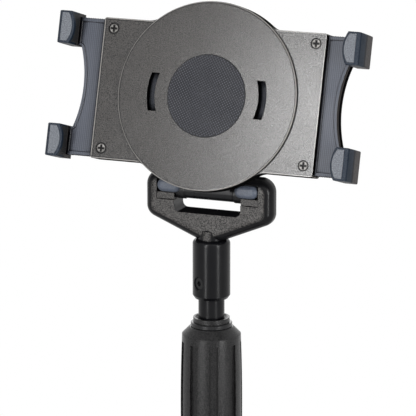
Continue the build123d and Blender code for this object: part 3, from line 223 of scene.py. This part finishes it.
class Finish:
    """A node material with the nodes that most finishes share."""

    def __init__(self, name, turn=0.0, edge=MOULD_EDGE):
        self.material = bpy.data.materials.new(name)
        self.material.use_nodes = True
        self.tree = self.material.node_tree
        self.shader = self.tree.nodes["Principled BSDF"]
        self.coordinates = self.tree.nodes.new("ShaderNodeTexCoord")
        mapping = self.tree.nodes.new("ShaderNodeMapping")
        mapping.inputs["Rotation"].default_value = (turn, 0, 0)
        self.link(self.coordinates.outputs["Object"], mapping.inputs["Vector"])
        self.place = mapping.outputs["Vector"]
        self.edge = None
        if edge:
            rounded = self.tree.nodes.new("ShaderNodeBevel")
            rounded.samples = 4
            rounded.inputs["Radius"].default_value = edge
            self.edge = rounded.outputs["Normal"]

    def link(self, source, target):
        """Joins an output to an input."""
        self.tree.links.new(source, target)

    def feed(self, value, target):
        """Sets a socket from a number, a colour or another socket."""
        if isinstance(value, tuple):
            target.default_value = (*value, 1)
        elif isinstance(value, (int, float)):
            target.default_value = value
        else:
            self.link(value, target)

    def noise(self, scale, detail, roughness):
        """A noise on the object's own coordinates."""
        made = self.tree.nodes.new("ShaderNodeTexNoise")
        made.inputs["Scale"].default_value = scale
        made.inputs["Detail"].default_value = detail
        made.inputs["Roughness"].default_value = roughness
        self.link(self.place, made.inputs["Vector"])
        return made.outputs["Fac"]

    def ramp(self, value, dark, light, low=0.35, high=0.65):
        """A colour that goes from dark to light between two values."""
        made = self.tree.nodes.new("ShaderNodeValToRGB")
        made.color_ramp.elements[0].position = low
        made.color_ramp.elements[0].color = (*dark, 1)
        made.color_ramp.elements[1].position = high
        made.color_ramp.elements[1].color = (*light, 1)
        self.link(value, made.inputs["Fac"])
        return made.outputs["Color"]

    def spread(self, value, low, high, start=0.3, end=0.7):
        """A number that goes from low to high while the value goes from start to end."""
        made = self.tree.nodes.new("ShaderNodeMapRange")
        for socket, number in (("From Min", start), ("From Max", end),
                               ("To Min", low), ("To Max", high)):
            made.inputs[socket].default_value = number
        self.link(value, made.inputs["Value"])
        return made.outputs["Result"]

    def maths(self, operation, first, second=0.0):
        """One sum on numbers or sockets."""
        made = self.tree.nodes.new("ShaderNodeMath")
        made.operation = operation
        self.feed(first, made.inputs[0])
        self.feed(second, made.inputs[1])
        return made.outputs["Value"]

    def mix(self, share, first, second):
        """The first colour at share 0 and the second at share 1."""
        made = self.tree.nodes.new("ShaderNodeMix")
        made.data_type = "RGBA"
        self.feed(share, made.inputs[0])
        self.feed(first, made.inputs[6])
        self.feed(second, made.inputs[7])
        return made.outputs[2]

    def along(self, place, direction):
        """How far a point or normal reaches in a direction."""
        made = self.tree.nodes.new("ShaderNodeVectorMath")
        made.operation = "DOT_PRODUCT"
        self.link(place, made.inputs[0])
        made.inputs[1].default_value = direction
        return made.outputs["Value"]

    def facing(self, direction, start, end):
        """1 where the surface faces along a direction, either way, and 0 where it doesn't."""
        turned = self.along(self.coordinates.outputs["Normal"], direction)
        return self.spread(self.maths("ABSOLUTE", turned), 0.0, 1.0, start, end)

    def along_normal(self):
        """Height, in metres, over the plate's face."""
        height = self.along(self.coordinates.outputs["Object"], face_normal)
        return self.maths("SUBTRACT", height, centre.dot(face_normal))

    def depth(self, start, end):
        """Rises from 0 to 1 between two heights, in metres, over the plate's face."""
        return self.spread(self.along_normal(), 0.0, 1.0, start, end)

    def on_plate(self, x=0.0, y=0.0):
        """Distance, in the plate's plane, from a place on it or from its mirror images."""
        parts = []
        for direction, middle in (((1, 0, 0), x), (face_up, y)):
            place = self.along(self.coordinates.outputs["Object"], direction)
            place = self.maths("SUBTRACT", place, centre.dot(Vector(direction)))
            parts.append(self.maths("SUBTRACT", self.maths("ABSOLUTE", place), middle))
        squares = [self.maths("MULTIPLY", part, part) for part in parts]
        away = self.maths("SQRT", self.maths("ADD", *squares))
        return away, parts[0], parts[1]

    def band(self, value, middle, half):
        """1 within a narrow band round a value and 0 outside it."""
        off = self.maths("ABSOLUTE", self.maths("SUBTRACT", value, middle))
        return self.spread(off, 1.0, 0.0, half, half * 1.4)

    def openness(self, reach):
        """One where a surface lies open, and towards zero deep in a slot or a corner."""
        made = self.tree.nodes.new("ShaderNodeAmbientOcclusion")
        made.samples = 8
        made.inputs["Distance"].default_value = reach
        return made.outputs["AO"]

    def bump(self, height, strength, distance, under=None):
        """Relief from a height, on the rounded edges or on another relief."""
        made = self.tree.nodes.new("ShaderNodeBump")
        made.inputs["Strength"].default_value = strength
        made.inputs["Distance"].default_value = distance
        self.link(height, made.inputs["Height"])
        if under or self.edge:
            self.link(under or self.edge, made.inputs["Normal"])
        return made.outputs["Normal"]

    def finish(self, colour, roughness, normal, **sockets):
        """Feeds the shader and gives the material back."""
        self.feed(colour, self.shader.inputs["Base Color"])
        self.feed(roughness, self.shader.inputs["Roughness"])
        self.link(normal, self.shader.inputs["Normal"])
        for name, value in sockets.items():
            self.feed(value, self.shader.inputs[name.replace("_", " ")])
        return self.material


# %% Moulded and lacquered finishes
def grained(name, dark, light, turn=0.0, grain=1100.0, depth=0.00012, roughness=(0.42, 0.6),
            strength=0.6, edge=MOULD_EDGE, **sockets):
    """Moulded plastic or paint with a fine even grain."""
    finish = Finish(name, turn, edge)
    grains = finish.noise(grain, 2.0, 0.6)
    cloud = finish.noise(60.0, 3.0, 0.55)
    tint = finish.ramp(grains, dark, light, 0.42, 0.58)
    worn = finish.mix(finish.spread(cloud, 0.0, 0.2), tint, light)
    rough = finish.spread(cloud, *roughness)
    return finish.finish(worn, rough, finish.bump(grains, strength, depth), **sockets)


def lacquered(name, colour, light, roughness, **sockets):
    """Gloss lacquer or plating with faint orange peel and handling marks."""
    finish = Finish(name, edge=0.0)
    peel = finish.noise(420.0, 1.0, 0.4)
    marks = finish.noise(90.0, 4.0, 0.65)
    tint = finish.ramp(marks, colour, light)
    rough = finish.spread(marks, *roughness)
    return finish.finish(tint, rough, finish.bump(peel, 0.12, 0.00005), **sockets)


# %% [markdown]
# ## The shell of the holder
# The plate and disc are one warm grey moulding with a coarse grain that sparkles a little.
# Its thin side walls read almost black in the photograph, because they face away from every
# lamp. A mask from the surface normal paints them near black: painted shade. Fine pale lines
# along the edges of the plate and of the disc are painted highlights on the rounded edges,
# and the fine dark lines beside them, round the foot of the disc and round the screw holes
# are painted shade.

# %% Shell finish
PLATE_END = 0.0716
PLATE_TOP = 0.043
DISC_RADIUS = 0.0574
DISC_STEP = (0.0012, 0.0016)
SCREW_PLACE = (0.0652, 0.0366)
SCREW_HOLE_RADIUS = 0.00352
LINE_HALF_WIDTH = 0.0002
PALE_LINE_INSET = 0.0004
DARK_LINE_INSET = 0.0012
PAINTED_EDGE_HIGHLIGHT = (0.3, 0.285, 0.27)
NEAR_BLACK = (0.004, 0.004, 0.004)


def shell_finish():
    """Warm grey grain, side walls painted near black as shade, and painted highlight and
    shade lines along the edges.
    """
    finish = Finish("warm_grey_grain", lean)
    grains = finish.noise(2300.0, 1.0, 0.5)
    cloud = finish.noise(45.0, 3.0, 0.55)
    tint = finish.ramp(grains, NEAR_BLACK, (0.082, 0.076, 0.072), 0.4, 0.6)
    face_share = finish.facing(face_normal, 0.35, 0.75)
    # The side walls are painted near black: painted shade.
    colour = finish.mix(face_share, NEAR_BLACK, tint)
    away, across, up = finish.on_plate()
    from_screw = finish.on_plate(*SCREW_PLACE)[0]
    disc = finish.depth(*DISC_STEP)
    below = finish.maths("SUBTRACT", 1.0, disc)
    past_disc = finish.spread(away, 0.0, 1.0, DISC_RADIUS + 0.0001, DISC_RADIUS + 0.0003)
    free = finish.maths("MULTIPLY", below, past_disc)
    # Pale lines are painted highlights on the rounded edges; the dark lines beside them, at
    # the disc's foot and round the screw holes are painted shade.
    edge_lines = (
        (across, PLATE_END - PALE_LINE_INSET, LINE_HALF_WIDTH, free, PAINTED_EDGE_HIGHLIGHT),
        (across, PLATE_END - DARK_LINE_INSET, LINE_HALF_WIDTH, free, NEAR_BLACK),
        (up, PLATE_TOP - PALE_LINE_INSET, LINE_HALF_WIDTH, free, PAINTED_EDGE_HIGHLIGHT),
        (up, PLATE_TOP - 0.0011, LINE_HALF_WIDTH, free, NEAR_BLACK),
        (away, DISC_RADIUS - PALE_LINE_INSET, 0.00025, disc, PAINTED_EDGE_HIGHLIGHT),
        (away, DISC_RADIUS - DARK_LINE_INSET, LINE_HALF_WIDTH, disc, NEAR_BLACK),
        (away, DISC_RADIUS + 0.0004, 0.0003, below, NEAR_BLACK),
        (from_screw, SCREW_HOLE_RADIUS, 0.00022, below, NEAR_BLACK),
    )
    for place, middle, half, where, shade in edge_lines:
        line = finish.band(place, middle, half)
        colour = finish.mix(finish.maths("MULTIPLY", line, where), colour, shade)
    rough = finish.spread(cloud, 0.2, 0.24)
    relief = finish.bump(grains, 0.4, 0.00012)
    gloss = finish.maths("MULTIPLY", face_share, 0.5)
    return finish.finish(colour, rough, relief, Specular_IOR_Level=gloss)


plate_finish = shell_finish()
print("plate", 2 * PLATE_END, "by", 2 * PLATE_TOP, "m")

# %% [markdown]
# ## Arms and hooks
# The arms are slate plastic with a fine net of lines moulded into the sunken panel. Two wave
# patterns at right angles, in the holder's own directions, make the net. Under the disc's
# slots, and close to the end of the plate, the arms lie so deep that they look black. The
# material finds such places by itself and paints them near black as painted shade, so the
# painted shade stays there when the arms slide. The arms' side walls are painted near black
# as shade, with a painted highlight along their front edge and a brownish band part way down.
# The hooks are a darker soft skin, with their sides painted darker than their front as shade
# and a dark band of painted shade. The D-shaped panel on the lip is painted paler as painted
# light, and there is a brownish band at the back.

# %% Arm finish
LINE_PITCH = 0.0012
SHADE_REACH = 0.006
SHADE_RANGE = (0.68, 0.86)
PANEL_LEDGE = (-0.0029, -0.0027)
ARM_RIM_HEIGHT = -0.0048
ARM_RIM_HALF = 0.0012


def net_of_lines(finish, pitch):
    """Height of a net of fine lines along and across the plate."""
    waves = []
    for direction in ("X", "Z"):
        made = finish.tree.nodes.new("ShaderNodeTexWave")
        made.bands_direction = direction
        made.inputs["Scale"].default_value = math.pi / 10 / pitch
        finish.link(finish.place, made.inputs["Vector"])
        waves.append(made.outputs["Fac"])
    return finish.maths("MULTIPLY", waves[0], finish.spread(waves[1], 0.6, 1.0, 0.0, 1.0))


def arm_finish_material():
    """Slate with a net of lines, side walls painted near black as shade with a painted
    highlight and a brownish band, and painted shade in deep places.
    """
    finish = Finish("slate_net_plastic", lean)
    net = net_of_lines(finish, LINE_PITCH)
    grains = finish.noise(1600.0, 2.0, 0.6)
    cloud = finish.noise(50.0, 3.0, 0.55)
    tint = finish.ramp(net, (0.05, 0.057, 0.076), (0.10, 0.11, 0.138), 0.0, 1.0)
    tint = finish.mix(finish.spread(grains, 0.0, 0.25), tint, (0.12, 0.128, 0.152))
    face_share = finish.facing(face_normal, 0.4, 0.8)
    # The side walls are painted near black as shade, with a brownish band part way down; the
    # strip above the panel ledge is a painted highlight.
    rim = finish.band(finish.along_normal(), ARM_RIM_HEIGHT, ARM_RIM_HALF)
    side_wall = finish.mix(rim, (0.006, 0.006, 0.006), (0.06, 0.055, 0.053))
    side_wall = finish.mix(finish.depth(*PANEL_LEDGE), side_wall, (0.22, 0.22, 0.225))
    # Painted shade: where the Ambient Occlusion node finds a slot or a corner, the slate is
    # painted near black.
    lit = finish.spread(finish.openness(SHADE_REACH), 0.0, 1.0, *SHADE_RANGE)
    tint = finish.mix(lit, (0.003, 0.003, 0.004), tint)
    colour = finish.mix(face_share, side_wall, tint)
    relief = finish.bump(net, 0.35, 0.00012, finish.bump(grains, 0.3, 0.00006))
    gloss = finish.maths("MULTIPLY", finish.maths("MULTIPLY", face_share, lit), 0.35)
    return finish.finish(colour, finish.spread(cloud, 0.4, 0.52), relief,
                         Specular_IOR_Level=gloss)


arm_finish = arm_finish_material()
print("net pitch", LINE_PITCH, "m")


# %% Hook finish
HOOK_SHADE_BAND = (0.0012, 0.0009)
LIP_PANEL = (0.01288, 0.01305)
BROWN_BAND_TOP = (-0.0006, -0.0002)


def hook_finish_material():
    """Soft slate skin, its sides painted darker as shade, with a painted shade band, a lip
    panel painted paler as light and a brownish band at the back.
    """
    finish = Finish("slate_soft_skin", lean, 0.0004)
    grains = finish.noise(1500.0, 2.0, 0.6)
    cloud = finish.noise(70.0, 3.0, 0.55)
    skin = finish.ramp(grains, (0.006, 0.012, 0.022), (0.016, 0.026, 0.042))
    panel = finish.ramp(grains, (0.13, 0.14, 0.16), (0.26, 0.275, 0.30))
    band = finish.ramp(grains, (0.03, 0.027, 0.027), (0.07, 0.064, 0.063))
    front = finish.ramp(grains, (0.03, 0.037, 0.05), (0.055, 0.066, 0.085))
    # The hook's sides are painted darker than its front: painted shade.
    skin = finish.mix(finish.facing(face_normal, 0.3, 0.6), skin, front)
    # A dark band at this height is painted shade.
    shade_band_mask = finish.band(finish.along_normal(), *HOOK_SHADE_BAND)
    skin = finish.mix(shade_band_mask, skin, (0.004, 0.005, 0.007))
    # The lip's front panel is painted paler: painted light.
    colour = finish.mix(finish.depth(*LIP_PANEL), skin, panel)
    # Below the plate's face the hook is brownish.
    colour = finish.mix(finish.depth(*BROWN_BAND_TOP), band, colour)
    relief = finish.bump(grains, 0.4, 0.00008)
    return finish.finish(colour, finish.spread(cloud, 0.36, 0.46), relief,
                         Specular_IOR_Level=0.04)


hook_finish = hook_finish_material()
print("lip panel starts", LIP_PANEL[0], "m over the plate")

# %% Rubber finishes
pad_finish = grained("slate_rubber", (0.006, 0.0065, 0.009), (0.016, 0.017, 0.022), lean,
                     grain=1800.0, depth=0.00008, roughness=(0.5, 0.62), edge=0.0,
                     Specular_IOR_Level=0.3)
strip_finish = grained("black_rubber", (0.008, 0.008, 0.009), (0.02, 0.02, 0.021), lean,
                       grain=1500.0, depth=0.00008, roughness=(0.55, 0.7), edge=0.0,
                       Specular_IOR_Level=0.3)
print("made", pad_finish.name, strip_finish.name)

# %% [markdown]
# ## Cover screws
# The screw heads are dark zinc. Only their top is pale: the recess and the cross in it, and
# the ring where the head meets its hole, are painted black as shade.

# %% Screw finish
RECESS_DEPTH = (-0.0005, -0.0003)
CROSS_HALF_WIDTH = 0.0006
CROSS_HALF_LENGTH = 0.0019
HEAD_RIM = (0.0025, 0.00265)
BLACK = (0.002, 0.002, 0.002)


def screw_finish_material():
    """Dark zinc with a cross and rim painted black as shade."""
    finish = Finish("dark_zinc", lean, 0.0)
    marks = finish.noise(300.0, 3.0, 0.6)
    tint = finish.ramp(marks, (0.12, 0.116, 0.11), (0.26, 0.25, 0.24))
    away, across, up = finish.on_plate(*SCREW_PLACE)
    # The recess, the cross and the head's rim are painted black: painted shade.
    colour = finish.mix(finish.depth(*RECESS_DEPTH), BLACK, tint)
    for one, other in ((across, up), (up, across)):
        arm = finish.maths("MULTIPLY", finish.band(one, 0.0, CROSS_HALF_WIDTH),
                           finish.band(other, 0.0, CROSS_HALF_LENGTH))
        colour = finish.mix(arm, colour, BLACK)
    colour = finish.mix(finish.spread(away, 0.0, 1.0, *HEAD_RIM), colour, BLACK)
    relief = finish.bump(marks, 0.2, 0.00004)
    return finish.finish(colour, finish.spread(marks, 0.35, 0.5), relief, Metallic=0.5,
                         Specular_IOR_Level=0.3)


screw_finish = screw_finish_material()
print("cross", 2 * CROSS_HALF_LENGTH, "m long")

# %% [markdown]
# ## Yoke
# The casting is textured on its two flat faces and gloss black on the broad rounded rims.
# One material does both: the mask `share` is 1 where the surface looks straight forwards or
# backwards. What lies level, like the lower rail of the window, has no gloss, because it
# would mirror the white surroundings and the photograph shows it dark.

# %% Yoke finish
RIM_GLOSS = 0.12
FLAT_GLOSS = 0.25


def yoke_finish_material():
    """Grained flat faces and gloss black rims."""
    finish = Finish("casting_flat_and_rim")
    grains = finish.noise(1700.0, 1.0, 0.5)
    marks = finish.noise(90.0, 4.0, 0.6)
    flat = finish.ramp(grains, (0.004, 0.004, 0.004), (0.10, 0.094, 0.09), 0.42, 0.58)
    rim = finish.ramp(marks, (0.005, 0.005, 0.006), (0.009, 0.009, 0.01))
    share = finish.facing((0, 1, 0), 0.93, 0.985)
    colour = finish.mix(share, rim, flat)
    rough = finish.maths("ADD", finish.spread(marks, 0.2, 0.26),
                         finish.maths("MULTIPLY", share, 0.16))
    height = finish.maths("MULTIPLY", grains, finish.spread(share, 0.06, 1.0, 0.0, 1.0))
    relief = finish.bump(height, 0.6, 0.0001)
    level = finish.facing((0, 0, 1), 0.8, 0.95)
    gloss = finish.maths("SUBTRACT", finish.spread(share, RIM_GLOSS, FLAT_GLOSS, 0.0, 1.0),
                         finish.maths("MULTIPLY", level, RIM_GLOSS))
    return finish.finish(colour, rough, relief, Specular_IOR_Level=gloss)


yoke_finish = yoke_finish_material()

# %% Caps, barrel and collar
cap_finish = grained("slate_cap", (0.065, 0.077, 0.102), (0.10, 0.116, 0.152), grain=1500.0,
                     depth=0.00005, roughness=(0.34, 0.42), Specular_IOR_Level=0.35)
hinge_finish = grained("satin_black", (0.006, 0.006, 0.007), (0.014, 0.014, 0.015),
                       grain=1400.0, depth=0.00005, roughness=(0.24, 0.34),
                       Specular_IOR_Level=0.2)
gloss_finish = lacquered("gloss_black", (0.002, 0.002, 0.003), (0.004, 0.004, 0.005),
                         (0.22, 0.27), Specular_IOR_Level=0.17)
print("made", yoke_finish.name, cap_finish.name, hinge_finish.name, gloss_finish.name)

# %% [markdown]
# ## Grip, base and inner pieces
# The grip is a satin black moulding, the base has a coarser powder coat, and the fasteners
# and sliding pieces inside keep the plain look of zinc, nylon and acetal.

# %% Grip, base and inner finishes
grip_finish = grained("grip_moulding", (0.001, 0.001, 0.0012), (0.022, 0.0215, 0.022),
                      grain=1300.0, depth=0.0002, roughness=(0.28, 0.36), strength=0.7,
                      Specular_IOR_Level=0.26)
trim_finish = grained("cap_ring_moulding", (0.007, 0.007, 0.008), (0.018, 0.018, 0.019),
                      grain=1500.0, depth=0.00005, roughness=(0.22, 0.34),
                      Specular_IOR_Level=0.25)
base_finish = grained("powder_coat", (0.014, 0.014, 0.015), (0.034, 0.034, 0.035),
                      grain=700.0, depth=0.00018, roughness=(0.45, 0.6))
foot_finish = grained("foot_rubber", (0.01, 0.01, 0.011), (0.024, 0.024, 0.025),
                      grain=1200.0, depth=0.00008, roughness=(0.7, 0.85))
zinc_finish = lacquered("zinc_plate", (0.42, 0.42, 0.41), (0.6, 0.6, 0.58), (0.25, 0.4),
                        Metallic=1.0)
nylon_finish = grained("natural_nylon", (0.45, 0.44, 0.4), (0.58, 0.57, 0.53), grain=800.0,
                       depth=0.00005, roughness=(0.4, 0.5))
acetal_finish = grained("natural_acetal", (0.55, 0.54, 0.49), (0.66, 0.65, 0.6), grain=900.0,
                        depth=0.00004, roughness=(0.3, 0.4))
print("made", grip_finish.name, trim_finish.name, base_finish.name, foot_finish.name)

# %% [markdown]
# ## Finishes on the pieces
# Each piece of the frame names its material slot, and this table gives each slot its finish.

# %% Assign the finishes
FINISHES = {
    "plate_shell": plate_finish, "pad_rubber": pad_finish, "hook_rubber": hook_finish,
    "arm_plastic": arm_finish, "screw_steel": screw_finish, "yoke_metal": yoke_finish,
    "cap_plastic": cap_finish, "hinge_black": hinge_finish, "gloss_black_metal": gloss_finish,
    "clutch_plastic": grip_finish, "clutch_trim": trim_finish, "cast_base": base_finish,
    "foot_rubber": foot_finish, "zinc_steel": zinc_finish, "inner_nylon": nylon_finish,
    "gear_acetal": acetal_finish,
}
for subpart in frame["record"]["subparts"]:
    for slot in nodes[subpart["node"]].material_slots:
        slot.material = FINISHES[subpart["material_slot"]]
print("finishes:", len(FINISHES))

# %% [markdown]
# ## Geometry Nodes for what repeats
# The pad's knobs and the ribs of the rubber strips repeat by a rule, so node trees make
# them. Each tree has named inputs. One helper makes a tree with its sockets, one adds a
# node, and one runs the tree on an empty object, keeps the result as a plain mesh and takes
# the modifier off again.

# %% Tree helpers
def new_tree(name, **inputs):
    """A geometry tree with an output and named inputs, each given as a kind and a value."""
    made = bpy.data.node_groups.new(name, "GeometryNodeTree")
    made.interface.new_socket("Geometry", in_out="OUTPUT", socket_type="NodeSocketGeometry")
    for label, (kind, value) in inputs.items():
        socket = made.interface.new_socket(label.replace("_", " "), in_out="INPUT",
                                           socket_type="NodeSocket" + kind)
        if value is not None:
            socket.default_value = value
    return made, made.nodes.new("NodeGroupInput"), made.nodes.new("NodeGroupOutput")


def step(tree, kind, operation=None, **links):
    """A node with its sockets linked or set, by name or by number after an underscore."""
    made = tree.nodes.new(kind)
    if operation:
        made.operation = operation
    for label, value in links.items():
        number = label[1:]
        socket = made.inputs[int(number) if number.isdigit() else label.replace("_", " ")]
        if isinstance(value, bpy.types.NodeSocket):
            tree.links.new(value, socket)
        else:
            socket.default_value = value
    return made


def grow(tree, name, place, **sizes):
    """Runs a tree on an empty object and moves the plain mesh it makes to its place."""
    piece = bpy.data.objects.new(name, bpy.data.meshes.new(name))
    bpy.context.scene.collection.objects.link(piece)
    modifier = piece.modifiers.new("tree", "NODES")
    modifier.node_group = tree
    for item in tree.interface.items_tree:
        label = item.name.replace(" ", "_")
        if item.in_out == "INPUT" and label in sizes:
            modifier[item.identifier] = sizes[label]
    grown = piece.evaluated_get(bpy.context.evaluated_depsgraph_get())
    mesh = bpy.data.meshes.new_from_object(grown)
    piece.modifiers.remove(modifier)
    mesh.transform(place)
    piece.data = mesh
    print(name, len(mesh.polygons), "faces")
    return piece


# %% [markdown]
# ## Knobs of the rubber pad
# The pad is covered with a fine slanting grid of knobs about 1.35 mm apart. A grid of points
# is turned, cut to a circle and given a small blunt cone at each point.

# %% Pad knobs
PAD_TOP = 0.0025
KNOB_SINK = 0.00002
KNOB_TURN = math.radians(33)
pad_tree, sizes, out = new_tree(
    "pad_knobs", Field_Radius=("Float", 0.0243), Pitch=("Float", 0.00135),
    Knob_Radius=("Float", 0.0005), Knob_Height=("Float", 0.00035), Turn=("Float", 0.0),
    Finish=("Material", None))
width = step(pad_tree, "ShaderNodeMath", "MULTIPLY", _0=sizes.outputs["Field Radius"], _1=2.2)
count = step(pad_tree, "ShaderNodeMath", "DIVIDE", _0=width.outputs[0],
             _1=sizes.outputs["Pitch"])
grid = step(pad_tree, "GeometryNodeMeshGrid", Size_X=width.outputs[0],
            Size_Y=width.outputs[0], Vertices_X=count.outputs[0], Vertices_Y=count.outputs[0])
angles = step(pad_tree, "ShaderNodeCombineXYZ", Z=sizes.outputs["Turn"])
quarter = step(pad_tree, "FunctionNodeEulerToRotation", Euler=angles.outputs[0])
turned = step(pad_tree, "GeometryNodeTransform", Geometry=grid.outputs["Mesh"],
              Rotation=quarter.outputs["Rotation"])
position = step(pad_tree, "GeometryNodeInputPosition")
reach = step(pad_tree, "ShaderNodeVectorMath", "LENGTH", _0=position.outputs[0])
outside = step(pad_tree, "FunctionNodeCompare", "GREATER_THAN", A=reach.outputs["Value"],
               B=sizes.outputs["Field Radius"])
field = step(pad_tree, "GeometryNodeDeleteGeometry", Geometry=turned.outputs["Geometry"],
             Selection=outside.outputs["Result"])
top = step(pad_tree, "ShaderNodeMath", "MULTIPLY", _0=sizes.outputs["Knob Radius"], _1=0.6)
knob = step(pad_tree, "GeometryNodeMeshCone", Vertices=8, Radius_Top=top.outputs[0],
            Radius_Bottom=sizes.outputs["Knob Radius"], Depth=sizes.outputs["Knob Height"])
knobs = step(pad_tree, "GeometryNodeInstanceOnPoints", Points=field.outputs["Geometry"],
             Instance=knob.outputs["Mesh"])
real = step(pad_tree, "GeometryNodeRealizeInstances", Geometry=knobs.outputs["Instances"])
dressed = step(pad_tree, "GeometryNodeSetMaterial", Geometry=real.outputs["Geometry"],
               Material=sizes.outputs["Finish"])
pad_tree.links.new(dressed.outputs["Geometry"], out.inputs["Geometry"])

pad_place = holder_frame @ Matrix.Translation((0, 0, PAD_TOP - KNOB_SINK))
knob_finish = grained("slate_rubber_knobs", (0.05, 0.052, 0.064), (0.085, 0.088, 0.105), lean,
                      grain=1800.0, depth=0.00004, roughness=(0.45, 0.55), edge=0.0,
                      Specular_IOR_Level=0.3)
pad_knobs = grow(pad_tree, "pad_knobs", pad_place, Turn=KNOB_TURN, Finish=knob_finish)
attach(pad_knobs, "holder")

# %% [markdown]
# ## Rubber strips inside the hooks
# The inner face of each hook is black: a ribbed rubber strip stops the tablet from slipping.
# The strip is a thin rounded sheet with upright ribs. One tree makes it lying flat, and it
# is stood against the hook's wall.

# %% Hook strips
strip_tree, sizes, out = new_tree(
    "ribbed_strip", Length=("Float", 0.0176), Height=("Float", 0.0108),
    Thickness=("Float", 0.00012), Corner=("Float", 0.0012), Rib_Pitch=("Float", 0.0011),
    Rib_Radius=("Float", 0.00022), Finish=("Material", None))
outline = step(strip_tree, "GeometryNodeCurvePrimitiveQuadrilateral",
               Width=sizes.outputs["Length"], Height=sizes.outputs["Height"])
rounded = step(strip_tree, "GeometryNodeFilletCurve", Curve=outline.outputs["Curve"],
               Radius=sizes.outputs["Corner"])
rounded.mode = "POLY"
rounded.inputs["Count"].default_value = 5
filled = step(strip_tree, "GeometryNodeFillCurve", Curve=rounded.outputs["Curve"])
sheet = step(strip_tree, "GeometryNodeExtrudeMesh", Mesh=filled.outputs["Mesh"],
             Offset_Scale=sizes.outputs["Thickness"])
sheet.inputs["Individual"].default_value = False
under = step(strip_tree, "GeometryNodeFlipFaces", Mesh=filled.outputs["Mesh"])
rib_span = step(strip_tree, "ShaderNodeMath", "SUBTRACT", _0=sizes.outputs["Length"],
                _1=sizes.outputs["Corner"])
rib_count = step(strip_tree, "ShaderNodeMath", "DIVIDE", _0=rib_span.outputs[0],
                 _1=sizes.outputs["Rib Pitch"])
half_span = step(strip_tree, "ShaderNodeMath", "MULTIPLY", _0=rib_span.outputs[0], _1=-0.5)
first_rib = step(strip_tree, "ShaderNodeCombineXYZ", X=half_span.outputs[0],
                 Z=sizes.outputs["Thickness"])
stride = step(strip_tree, "ShaderNodeCombineXYZ", X=sizes.outputs["Rib Pitch"])
row = step(strip_tree, "GeometryNodeMeshLine", Count=rib_count.outputs[0],
           Start_Location=first_rib.outputs[0], Offset=stride.outputs[0])
rib_length = step(strip_tree, "ShaderNodeMath", "SUBTRACT", _0=sizes.outputs["Height"],
                  _1=sizes.outputs["Corner"])
rib = step(strip_tree, "GeometryNodeMeshCylinder", Vertices=8,
           Radius=sizes.outputs["Rib Radius"], Depth=rib_length.outputs[0])
lying = step(strip_tree, "GeometryNodeTransform", Geometry=rib.outputs["Mesh"],
             Rotation=(math.pi / 2, 0, 0))
ribs = step(strip_tree, "GeometryNodeInstanceOnPoints", Points=row.outputs["Mesh"],
            Instance=lying.outputs["Geometry"])
whole = strip_tree.nodes.new("GeometryNodeJoinGeometry")
for source in (sheet.outputs["Mesh"], under.outputs["Mesh"], ribs.outputs["Instances"]):
    strip_tree.links.new(source, whole.inputs["Geometry"])
real = step(strip_tree, "GeometryNodeRealizeInstances", Geometry=whole.outputs["Geometry"])
dressed = step(strip_tree, "GeometryNodeSetMaterial", Geometry=real.outputs["Geometry"],
               Material=sizes.outputs["Finish"])
strip_tree.links.new(dressed.outputs["Geometry"], out.inputs["Geometry"])

HOOK_WALL = 0.0889
HOOK_MIDDLE = 0.0344
STRIP_DEPTH = 0.0042
for side, word in ((-1, "left"), (1, "right")):
    stand = Matrix(((0, 0, -side, 0), (-side, 0, 0, 0), (0, 1, 0, 0), (0, 0, 0, 1)))
    for rise, level in ((1, "upper"), (-1, "lower")):
        spot = Matrix.Translation((side * HOOK_WALL, rise * HOOK_MIDDLE, STRIP_DEPTH))
        strip = grow(strip_tree, f"{word}_{level}_grip_strip", holder_frame @ spot @ stand,
                     Finish=strip_finish)
        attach(strip, f"{word}_slide")

# %% [markdown]
# ## Colours
# The Standard view transform keeps the photograph's plain white and its dark greys.

# %% Colour management and closing lines
bpy.context.scene.view_settings.view_transform = "Standard"
